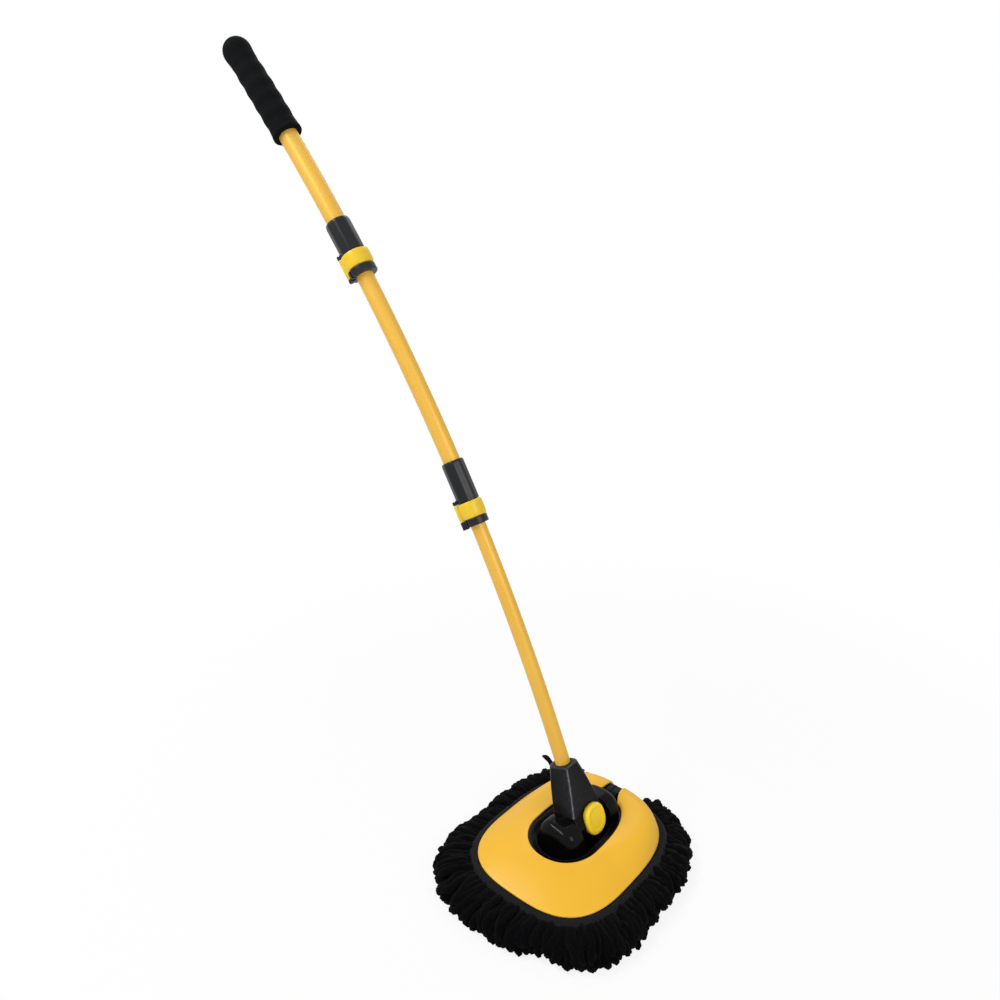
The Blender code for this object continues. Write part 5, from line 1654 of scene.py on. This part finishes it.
@dataclass(frozen=True)
class Button:
    """The yellow thumb button: a dished oval with a rounded rim."""

    bend: PoleBend
    half_width: float = 0.0180
    half_height: float = 0.0195
    lift: float = 0.0008
    side: float = 0.005
    back: float = 0.0173
    face: float = 0.0250
    edge: float = 0.0030
    rim_width: float = 0.0032
    dish: float = 0.0007
    power: float = 2.3
    skirt: float = 0.0006
    skirt_height: float = 0.0005
    wear_and_highlight_width: float = 0.001
    rim_steps: tuple[float, ...] = (0.3, 0.6, 0.85, 1.0, 1.2, 1.6)
    dish_steps: tuple[float, ...] = (0.02, 0.1, 0.35, 0.65, 0.9, 1.0)

    def build(self) -> Object:
        """The button: a profile of inset and depth carried around a superellipse.

        Returns:
            The button.
        """
        roll = np.linspace(0, QUARTER, 8)
        inset = np.concatenate([[self.skirt, 0.0], self.edge * (1 - np.cos(roll)),
                                self.edge + self.rim_width * np.array(self.rim_steps)])
        depth = np.concatenate([[self.back, self.back + self.skirt_height],
                                self.face - self.edge * (1 - np.sin(roll)),
                                self.face - self.dish * np.array(self.dish_steps)])
        fill = np.linspace(self.edge + self.rim_width * self.rim_steps[-1], self.half_width * 0.98, 8)[1:]
        inset = np.concatenate([inset, fill])
        depth = np.concatenate([depth, np.full(len(fill), self.face - self.dish)])
        across, along = superellipse(full_turn(96), self.power)
        side = self.side + (self.half_width - inset[:, None]) * across
        up = self.lift + (self.half_height - inset[:, None]) * along
        # The edge mark paints a paler band round the rounded rim: a painted highlight, with wear.
        edge = widened(np.exp(-np.abs(inset - self.edge * 0.6) / self.wear_and_highlight_width), side.shape[1])
        skin = Skin().grid(self.bend.straight(depth[:, None], side, up), cap_rows=(True, True), edge=edge)
        return skin.build("button_cap", 60)


# The pole

@dataclass(frozen=True)
class Tube:
    """One bent tube of the pole."""

    name: str
    node: str
    body: Body
    radius: float
    low: float
    high: float
    wall: float = 0.0010
    rim: float = 0.0003
    pitch: float = 0.012
    sides: int = 72

    def build(self, bend: PoleBend) -> Object:
        """The tube: its outside, rounded rims and bore as one closed ring of rows.

        Args:
            bend: The pole's bend.

        Returns:
            The tube.
        """
        count = max(2, math.ceil((self.high - self.low) / self.pitch)) + 1
        run = np.linspace(self.low + self.rim, self.high - self.rim, count)
        roll = np.linspace(0, QUARTER, 4)[1:]
        dip = self.rim * (1 - np.cos(roll))
        rise = self.rim * np.sin(roll) - self.rim
        outer = np.concatenate([
            np.stack([self.radius - dip[::-1], self.low - rise[::-1]], axis=-1),
            np.stack([np.full(count, self.radius), run], axis=-1),
            np.stack([self.radius - dip, self.high + rise], axis=-1)])
        inside = self.radius - self.wall
        inner = np.stack([np.full(count, inside), run[::-1]], axis=-1)
        ends = np.array([[inside, self.high], [inside, self.low]])
        profile = np.concatenate([outer, ends[:1], inner, ends[1:]])
        return Skin().grid(bend.turned(profile, self.sides), wrap_rows=True).build(self.name, 50)


@dataclass(frozen=True)
class Clamp:
    """A lever clamp: a fluted sleeve on the outer tube, a split collar, and a lever that wraps it."""

    name: str
    body: Body
    lever_body: Body
    base: float
    inner_radius: float
    outer_radius: float
    sleeve_radius: float
    lever_radius: float
    sleeve_length: float
    bend: PoleBend = PoleBend()
    turn: float = math.radians(-45)
    gap: float = 0.0003
    collar_wall: float = 0.0025
    lobe: float = 0.0
    ring_length: float = 0.0092
    lever_length: float = 0.0207
    lug_sink: float = 0.0014
    head_radius: float = 0.0027
    head_height: float = 0.0012
    end_gap: float = 0.0004
    clearance: float = 0.0005
    sweep: float = math.radians(168)
    knuckle: float = 0.0035
    pin_radius: float = 0.0017
    lug_height: float = 0.005
    split: float = 0.0024
    split_turn: float = math.radians(-52)
    edge: float = 0.0014
    flutes: int = 8
    flute_depth: float = 0.0006
    bulge: float = 0.0010
    lip: float = 0.0016
    lip_start: float = 0.8
    lip_share: float = 0.2
    lobe_share: float = 0.24
    lever_round: float = 0.0022
    lever_draw: float = 0.05
    flat: float = 0.86
    rolled: float = 0.14
    ledge: float = 0.0015
    foot_round: float = 0.0003
    step_round: float = 0.0006
    neck_round: float = 0.0004
    top_round: float = 0.002
    rim_round: float = 0.0005
    lug_round: float = 0.0005
    flute_margin: float = 0.0008
    flute_start: float = 0.0002
    wear_and_highlight_width: float = 0.001
    sides: int = 128

    @property
    def collar_radius(self) -> float:
        """Outside of the thin collar under the lever."""
        return self.inner_radius + self.gap + self.collar_wall

    @property
    def ring_top(self) -> float:
        """Height of the face below the lever."""
        return self.base + self.ring_length

    @property
    def sleeve_base(self) -> float:
        """Height of the face above the lever."""
        return self.ring_top + self.lever_length + 2 * self.end_gap

    @property
    def pin_offset(self) -> float:
        """Distance of the lever's pin from the pole's middle line."""
        return self.collar_radius + self.clearance + self.knuckle

    def around(self, radius: Array, angle: Array, height: Array) -> Array:
        """Places beside the pole, at angles from the clamp's front."""
        bearing = angle + self.turn
        return self.bend.place(radius * np.cos(bearing), radius * np.sin(bearing), height)

    def local(self, front: Array, side: Array, up: Array) -> Array:
        """Places in the clamp's straight frame, half way up its lever.

        Args:
            front: Distance towards the clamp's front.
            side: Distance to its side.
            up: Distance up the pole.

        Returns:
            The places, in the common shape of all three.
        """
        middle = (self.ring_top + self.sleeve_base) / 2
        out, across, along = self.bend.axes(middle)
        ahead = math.cos(self.turn) * out + math.sin(self.turn) * across
        beside = -math.sin(self.turn) * out + math.cos(self.turn) * across
        start = self.bend.place(0.0, 0.0, middle)
        front, side, up = np.broadcast_arrays(front, side, up)
        return start + front[..., None] * ahead + side[..., None] * beside + up[..., None] * along

    def sleeve(self) -> Object:
        """The fluted sleeve: a rounded profile turned around the pole, dipped by a cosine in each flute.

        Returns:
            The sleeve.
        """
        top = self.sleeve_base + self.sleeve_length
        seat = self.sleeve_base + self.ledge
        bore, wide = self.inner_radius + self.gap, self.outer_radius + self.gap
        low = self.sleeve_base - self.split
        outer = rounded([(self.collar_radius, low, 0),
                         (self.collar_radius, self.sleeve_base, self.foot_round),
                         (self.sleeve_radius, self.sleeve_base, self.step_round),
                         (self.sleeve_radius, self.sleeve_base + self.sleeve_length * 0.5, 0),
                         (self.sleeve_radius, top - self.edge * 1.6, self.top_round),
                         (self.sleeve_radius - self.edge * 0.7, top, self.rim_round), (wide, top, 0)], 5)
        inner = np.array([(wide, seat), (bore, seat), (bore, low)])
        profile = np.concatenate([outer, inner])
        angle = full_turn(self.sides)
        outside = profile[:, 0] > self.collar_radius + self.flute_margin
        full = outside & (profile[:, 1] < top - self.edge * 0.5)
        depth = self.flute_depth * full * (profile[:, 1] > self.sleeve_base + self.flute_start)
        dip = depth[:, None] * (1 - np.cos(self.flutes * angle)) / 2
        radius = profile[:, :1] - dip
        # Painted highlight, with wear, along the sleeve's top rim.
        edge = widened(np.exp(-np.abs(profile[:, 1] - top) / self.wear_and_highlight_width), self.sides)
        skin = Skin().grid(self.around(radius, angle, profile[:, 1:]), wrap_rows=True, edge=edge)
        return skin.build(f"{self.name}_sleeve_body", 40)

    def collar(self) -> Object:
        """The split collar and its ring: a rounded profile swept from one side of the split to the other.

        Returns:
            The collar.
        """
        bore = self.inner_radius + self.gap
        top = self.sleeve_base - self.split
        outer = rounded([(bore, self.base, 0), (self.lever_radius, self.base, self.edge),
                         (self.lever_radius, self.ring_top, self.step_round),
                         (self.collar_radius, self.ring_top, self.neck_round),
                         (self.collar_radius, top, 0)], 5)
        inner = np.stack([np.full(len(outer), bore), outer[::-1, 1]], axis=-1)
        profile = np.concatenate([outer, inner])
        half = self.split / 2 / np.maximum(profile[:, :1], bore)
        share = np.linspace(0, 1, self.sides)[None, :]
        angle = self.split_turn + half + (TURN - 2 * half) * share
        # Painted highlight, with wear, along the collar's lower rim.
        edge = widened(np.exp(-np.abs(profile[:, 1] - self.base) / self.wear_and_highlight_width), self.sides)
        skin = Skin().grid(self.around(profile[:, :1], angle, profile[:, 1:]), wrap_rows=True,
                           wrap_columns=False, seal=True, edge=edge)
        return skin.build(f"{self.name}_collar", 40)

    def lugs(self) -> Object:
        """The two tabs that hold the pin, one below the lever and one above it.

        Each is a rounded outline pushed along the pole and drawn in at both ends.

        Returns:
            Both tabs as one piece.
        """
        angle = np.linspace(0, -math.pi, 17)
        start = self.collar_radius - self.collar_wall / 2
        front = np.concatenate([[-self.knuckle], self.knuckle * np.cos(angle[::-1]), [self.knuckle]])
        side = np.concatenate([[-start], -self.pin_offset + self.knuckle * np.sin(angle[::-1]), [-start]])
        middle = (self.ring_top + self.sleeve_base) / 2
        centre, soft = -self.pin_offset, self.lug_round
        narrow = 1 - soft / self.knuckle
        shrink = np.array([narrow, 1, 1, narrow])[:, None]
        skin = Skin()
        for low, high in ((self.base - self.lug_sink, self.ring_top - self.gap - self.lobe),
                          (self.sleeve_base + self.gap, self.sleeve_base + self.lug_height)):
            heights = np.array([low, low + soft, high - soft, high])[:, None] - middle
            skin.grid(self.local(front * shrink, centre + (side - centre) * shrink, heights),
                      cap_rows=(True, True), edge=np.zeros((len(shrink), len(front))))
        return skin.build(f"{self.name}_lugs", 40)

    def pin_head(self) -> Object:
        """The pin's riveted head: a low dome turned about the pin, on the upper lug.

        Returns:
            The head.
        """
        rise = np.linspace(0, QUARTER, 7)
        start = self.sleeve_base + self.lug_height - (self.ring_top + self.sleeve_base) / 2
        radius = np.concatenate([[self.head_radius], self.head_radius * np.cos(rise[:-1])])[:, None]
        height = np.concatenate([[-self.gap], self.head_height * np.sin(rise[:-1])])[:, None]
        angle = full_turn(28)
        dome = self.local(radius * np.cos(angle), -self.pin_offset + radius * np.sin(angle), start + height)
        return Skin().grid(dome, cap_rows=(True, True)).build(f"{self.name}_pin_head", 60)

    def lever(self) -> Object:
        """The lever: a crowned section swept round the collar, lifted at its lip, with its round end.

        The section's outside bulges by a fourth power along the pole, both ends of the sweep are
        drawn in by a quarter circle, and the lower edge sags to the lobe around the pin by a square.

        Returns:
            The lever.
        """
        inside = self.collar_radius + self.clearance
        half = self.lever_length / 2
        along = np.linspace(-1, 1, 25)
        rolled = np.clip((np.abs(along) - self.flat) / self.rolled, 0, 1)
        roll = np.sqrt(np.clip(1 - rolled ** 2, 0, 1))
        crown = self.bulge * (1 - along ** 4)
        thick = self.lever_radius - inside - self.bulge * 0.6
        outer = inside + thick * (0.45 + 0.55 * roll) + crown
        share = np.linspace(0, 1, 96)
        angle = self.sweep * (share - 0.5)
        near = np.minimum(share, 1 - share) * self.sweep * self.lever_radius
        taper = np.sqrt(1 - (1 - np.clip(near / self.lever_round, 0, 1)) ** 2)
        lift = self.lip * np.clip((share - self.lip_start) / self.lip_share, 0, 1) ** 2
        radii = np.concatenate([outer, np.full(len(along), inside)])
        heights = np.concatenate([along, along[::-1]]) * half
        radius = inside + lift[:, None] + (radii - inside)[None, :] * (0.35 + 0.65 * taper)[:, None]
        front = radius * np.cos(angle)[:, None]
        side = radius * np.sin(angle)[:, None]
        short = 1 - self.lever_draw * (1 - taper)[:, None]
        beside_pin = (1 - np.clip(share / self.lobe_share, 0, 1))[:, None] ** 2
        sag = np.clip(-heights / half, 0, 1)[None, :] * self.lobe * beside_pin
        points = self.local(front.T, side.T, (heights[None, :] * short - sag).T)
        edge = widened(np.concatenate([1 - roll, np.zeros(len(roll))]), len(share))
        skin = Skin().grid(points, wrap_rows=True, wrap_columns=False, seal=True, edge=edge)
        turn = full_turn(40)
        foot = -half - self.lobe
        profile = rounded([(self.pin_radius, foot, 0), (self.knuckle, foot, self.step_round),
                           (self.knuckle, half, self.step_round), (self.pin_radius, half, 0)], 4)
        knuckle = self.local(profile[:, :1] * np.cos(turn),
                             -self.pin_offset + profile[:, :1] * np.sin(turn), profile[:, 1:])
        skin.grid(knuckle, wrap_rows=True, edge=np.zeros(knuckle.shape[:2]))
        return skin.build(f"{self.name}_lever_band", 45)

    def build(self, palette: Palette) -> None:
        """Make the clamp's pieces and set them on their bodies.

        Args:
            palette: The materials.
        """
        node = f"{self.name}_sleeve"
        for piece in (self.sleeve(), self.collar(), self.lugs()):
            piece.data.materials.append(palette.satin)
            fit(piece, palette, self.body, Slot.BLACK, [node])
        fit(self.pin_head(), palette, self.body, Slot.STEEL)
        fit(self.lever(), palette, self.lever_body, Slot.LEVER, [f"{self.name}_lever"])


@dataclass(frozen=True)
class Grip:
    """The foam grip: a softly waved sleeve with a domed end."""

    base: float = 0.9405
    top: float = 1.0925
    radius: float = 0.0182
    lip_radius: float = 0.0193
    lip_length: float = 0.006
    bulb_radius: float = 0.0187
    bulb_length: float = 0.034
    waist: float = 0.0011
    wave: float = 0.0004
    waves: int = 5
    bore: float = 0.0128
    ceiling: float = 0.014
    bore_ring: float = 0.02
    edge: float = 0.0018
    sides: int = 96

    def build(self, bend: PoleBend) -> Object:
        """The grip: a profile of radius and height turned around the pole.

        Its radius is the body's, less a waist that grows with the cube of the share up the body,
        plus a cosine wave, joined smoothly to a bulb with a half-round dome.

        Args:
            bend: The pole's bend.

        Returns:
            The grip.
        """
        body_low = self.base + self.lip_length
        bulb_low = self.top - self.bulb_length
        dome_low = self.top - self.bulb_radius
        share = np.linspace(0, 1, 70)
        body = self.radius - self.waist * share ** 3 + self.wave * np.cos(TURN * self.waves * share)
        join = np.linspace(0, 1, 10)[1:]
        ease = join ** 2 * (3 - 2 * join)
        roll = np.linspace(0, QUARTER, 22)[1:-1]
        lip = rounded([(self.bore, self.base, 0), (self.lip_radius, self.base, self.edge),
                       (self.lip_radius, body_low - self.edge / 2, self.edge),
                       (body[0], body_low + self.edge / 2, 0)], 6)
        run = body_low + self.edge + (bulb_low - body_low - self.edge) * share
        bulb = np.stack([body[-1] + (self.bulb_radius - body[-1]) * ease,
                         bulb_low + (dome_low - bulb_low) * join], axis=-1)
        dome = self.bulb_radius * np.stack([np.cos(roll), np.sin(roll)], axis=-1) + np.array([0, dome_low])
        inner = np.array([(self.bore, self.top - self.ceiling), (self.bore, self.base + self.bore_ring)])
        profile = np.concatenate([inner, lip, np.stack([body, run], axis=-1), bulb, dome])
        skin = Skin().grid(bend.turned(profile, self.sides), cap_rows=(True, True))
        return skin.build("foam_grip_sleeve", 60)


# The studio

@dataclass(frozen=True)
class Studio:
    """The camera at the photograph's place, plain soft lamps and a pale floor."""

    camera_place: Triple = (0.5126, -0.7210, 0.8726)
    camera_turn: Triple = (math.radians(67.36), 0.0, math.radians(40.944))
    focal_mm: float = 32.4
    sensor_mm: float = 36.0
    nearest: float = 0.02
    floor_half: float = 4.0
    floor_z: float = -0.0004
    lamps: tuple[tuple[Triple, float, float, float], ...] = (
        ((1.9, -0.4, 1.6), 1.3, 1.3, 22.5), ((-1.2, 1.5, 2.0), 1.6, 1.6, 11.0),
        ((-1.31, -1.47, 2.57), 2.8, 0.14, 60.0))
    aim: Triple = (-0.15, 0.0, 0.35)
    world_strength: float = 0.3

    def camera(self) -> None:
        """Set the camera."""
        data = bpy.data.cameras.new("photo_camera")
        data.lens = self.focal_mm
        data.sensor_width = self.sensor_mm
        data.sensor_fit = "HORIZONTAL"
        data.clip_start = self.nearest
        holder = bpy.data.objects.new("photo_camera", data)
        holder.location = self.camera_place
        holder.rotation_euler = self.camera_turn
        bpy.context.scene.collection.objects.link(holder)
        bpy.context.scene.camera = holder

    def lights(self) -> None:
        """Hang the soft lamps, each aimed at the middle of the mop."""
        for number, (place, width, depth, power) in enumerate(self.lamps, start=1):
            data = bpy.data.lights.new(f"soft_lamp_{number}", "AREA")
            data.shape = "ELLIPSE"
            data.size = width
            data.size_y = depth
            data.energy = power
            holder = bpy.data.objects.new(data.name, data)
            way = np.array(self.aim) - np.array(place)
            flat = math.hypot(way[0], way[1])
            holder.rotation_euler = (math.atan2(flat, -way[2]), 0, math.atan2(way[1], way[0]) - QUARTER)
            holder.location = place
            bpy.context.scene.collection.objects.link(holder)

    def world(self) -> None:
        """Light the room evenly and show it white to the camera."""
        room = bpy.data.worlds.new("studio_room")
        room.use_nodes = True
        tree = room.node_tree
        rays = tree.nodes.new("ShaderNodeLightPath")
        length = tree.nodes.new("ShaderNodeVectorMath")
        length.operation = "LENGTH"
        seen = tree.nodes.new("ShaderNodeCombineXYZ")
        for number, ray in enumerate(("Is Camera Ray", "Is Glossy Ray", "Is Transmission Ray")):
            tree.links.new(rays.outputs[ray], seen.inputs[number])
        tree.links.new(seen.outputs[0], length.inputs[0])
        lift = tree.nodes.new("ShaderNodeMapRange")
        lift.inputs["To Min"].default_value = self.world_strength
        lift.inputs["To Max"].default_value = 1.0
        tree.links.new(length.outputs["Value"], lift.inputs["Value"])
        back = tree.nodes["Background"]
        back.inputs["Color"].default_value = (1, 1, 1, 1)
        tree.links.new(lift.outputs[0], back.inputs["Strength"])
        bpy.context.scene.world = room

    def floor(self) -> None:
        """Lay the floor, just under the mop."""
        steps = np.linspace(-self.floor_half, self.floor_half, 9)
        x, y = np.meshgrid(steps, steps)
        places = np.stack([x, y, np.full(x.shape, self.floor_z)], axis=-1)
        ground = Skin().grid(places, wrap_columns=False).build("studio_floor")
        ground.data.materials.append(StudioFloor().material())
        ground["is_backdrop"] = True

    def build(self) -> None:
        """Set up the whole studio."""
        self.camera()
        self.lights()
        self.world()
        self.floor()
        bpy.context.scene.view_settings.view_transform = "Standard"


def dress_frame(palette: Palette) -> None:
    """Give every node of the frame that still shows its own finish.

    Args:
        palette: The materials.
    """
    slots = {
        Slot.STEEL: ["pivot_pin", "tube_screw", "button_spring_front", "button_spring_rear",
                     "lower_clamp_pin", "upper_clamp_pin", *(f"cover_screw_{n}" for n in range(1, 5))],
        Slot.GREY: ["detent_wheel", "lock_yoke", "lower_tube_guide", "middle_tube_guide"],
        Slot.BLACK: ["pin_cap", "upper_tube_plug"],
    }
    for slot, names in slots.items():
        for name in names:
            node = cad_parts[name]
            node.data.materials.clear()
            node.data.materials.append(palette.of(slot))
            LOG.info("%s: finished as %s", name, slot.value)


@dataclass(frozen=True)
class Head:
    """The mop head: cover, base, pad, binding and fringe."""

    bend: PoleBend
    pad_fill: float = 0.9

    def build(self, palette: Palette) -> None:
        """Make the cover, the base under it, and the soft pieces that follow the cover's outer edge.

        Args:
            palette: The materials.
        """
        cover = HeadCover()
        base = HeadBase(cover, self.bend)
        fit(cover.build(), palette, Body.HEAD, Slot.COVER, ["head_cover"])
        fit(base.tray(), palette, Body.HEAD, Slot.BLACK, ["base_plate"])
        fit(base.ear("front_hinge_ear", -1), palette, Body.HEAD, Slot.BLACK, ["base_plate"])
        rear = base.ear("rear_hinge_ear", 1)
        cut(rear, base.cap_recess())
        fit(rear, palette, Body.HEAD, Slot.BLACK, ["base_plate"])
        fit(base.tongue(), palette, Body.HEAD, Slot.BLACK, ["base_plate"])

        pad = Pad(cover.outline)
        body = fit(pad.build(), palette, Body.HEAD, Slot.PILE, ["mop_pad"])
        fit(pad.pile(), palette, Body.HEAD, Slot.PILE, ["mop_pad"])
        hem = Hem(cover.outline)
        tape = fit(hem.build(), palette, Body.HEAD, Slot.BINDING, ["mop_hem"])
        hem.length()
        fringe = Fringe(cover.outline)
        for number, side in enumerate(("right", "rear", "left", "front")):
            quarter = fringe.quarter(f"chenille_{side}", number * QUARTER, number)
            fit(quarter, palette, Body.HEAD, Slot.PILE, [f"fringe_{side}"])


@dataclass(frozen=True)
class Hinge:
    """The hinge's moving part: the neck and its thumb button."""

    bend: PoleBend
    sharp: float = math.radians(40)

    def build(self, palette: Palette) -> None:
        """Make the neck with its cavities, and the button in its pocket.

        Args:
            palette: The materials.
        """
        neck = Neck(self.bend)
        shell = neck.shell()
        cut(shell, *neck.tools())
        shell.data.shade_smooth()
        shell.data.set_sharp_from_angle(angle=self.sharp)
        fit(shell, palette, Body.NECK, Slot.BLACK, ["neck_housing"])
        fit(Button(self.bend).build(), palette, Body.BUTTON, Slot.BUTTON, ["thumb_button"])


@dataclass(frozen=True)
class Pole:
    """The pole: three tubes, two clamps and a grip, all along one bend."""

    bend: PoleBend
    lower_radius: float = 0.0095
    middle_radius: float = 0.0110
    upper_radius: float = 0.0125
    lower_base: float = 0.0403
    lower_top: float = 0.4777
    middle_top: float = 0.8093
    upper_top: float = 1.0745
    lower_clamp_base: float = 0.398
    upper_clamp_base: float = 0.7351
    seat: float = 0.0018
    grip_fill: float = 1.0

    def clamps(self) -> tuple[Clamp, Clamp]:
        """Size both clamps for the tubes that they hold.

        Returns:
            The lower and the upper clamp.
        """
        lower = Clamp("lower_clamp", Body.MIDDLE, Body.LOWER_LEVER, self.lower_clamp_base,
                      self.lower_radius, self.middle_radius, sleeve_radius=0.0142, lever_radius=0.0149,
                      sleeve_length=0.0524, bend=self.bend)
        upper = Clamp("upper_clamp", Body.UPPER, Body.UPPER_LEVER, self.upper_clamp_base,
                      self.middle_radius, self.upper_radius, sleeve_radius=0.0161, lever_radius=0.0181,
                      sleeve_length=0.0447, bend=self.bend, lobe=0.0065)
        return lower, upper

    def build(self, palette: Palette) -> None:
        """Make the tubes, the clamps and the grip. Each outer tube stands in its clamp's sleeve.

        Args:
            palette: The materials.
        """
        lower, upper = self.clamps()
        tubes = (Tube("lower_pole_tube", "lower_tube", Body.NECK, self.lower_radius,
                      self.lower_base, self.lower_top),
                 Tube("middle_pole_tube", "middle_tube", Body.MIDDLE, self.middle_radius,
                      lower.sleeve_base + self.seat, self.middle_top),
                 Tube("upper_pole_tube", "upper_tube", Body.UPPER, self.upper_radius,
                      upper.sleeve_base + self.seat, self.upper_top))
        for tube in tubes:
            fit(tube.build(self.bend), palette, tube.body, Slot.TUBE, [tube.node])
        lower.build(palette)
        upper.build(palette)
        grip = fit(Grip().build(self.bend), palette, Body.UPPER, Slot.FOAM, ["foam_grip"])


def main() -> None:
    """Build the mop's looks and the studio, and work out the bounding boxes of the frame and the looks."""
    logging.basicConfig(level=logging.INFO, format="%(message)s")
    Studio().build()
    palette = Palette()
    bend = PoleBend()
    dress_frame(palette)
    for part in (Head(bend), Hinge(bend), Pole(bend)):
        part.build(palette)
    boxes = [[list(corner) for corner in box] for box in (cad_box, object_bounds())]


if __name__ == "__main__":
    main()
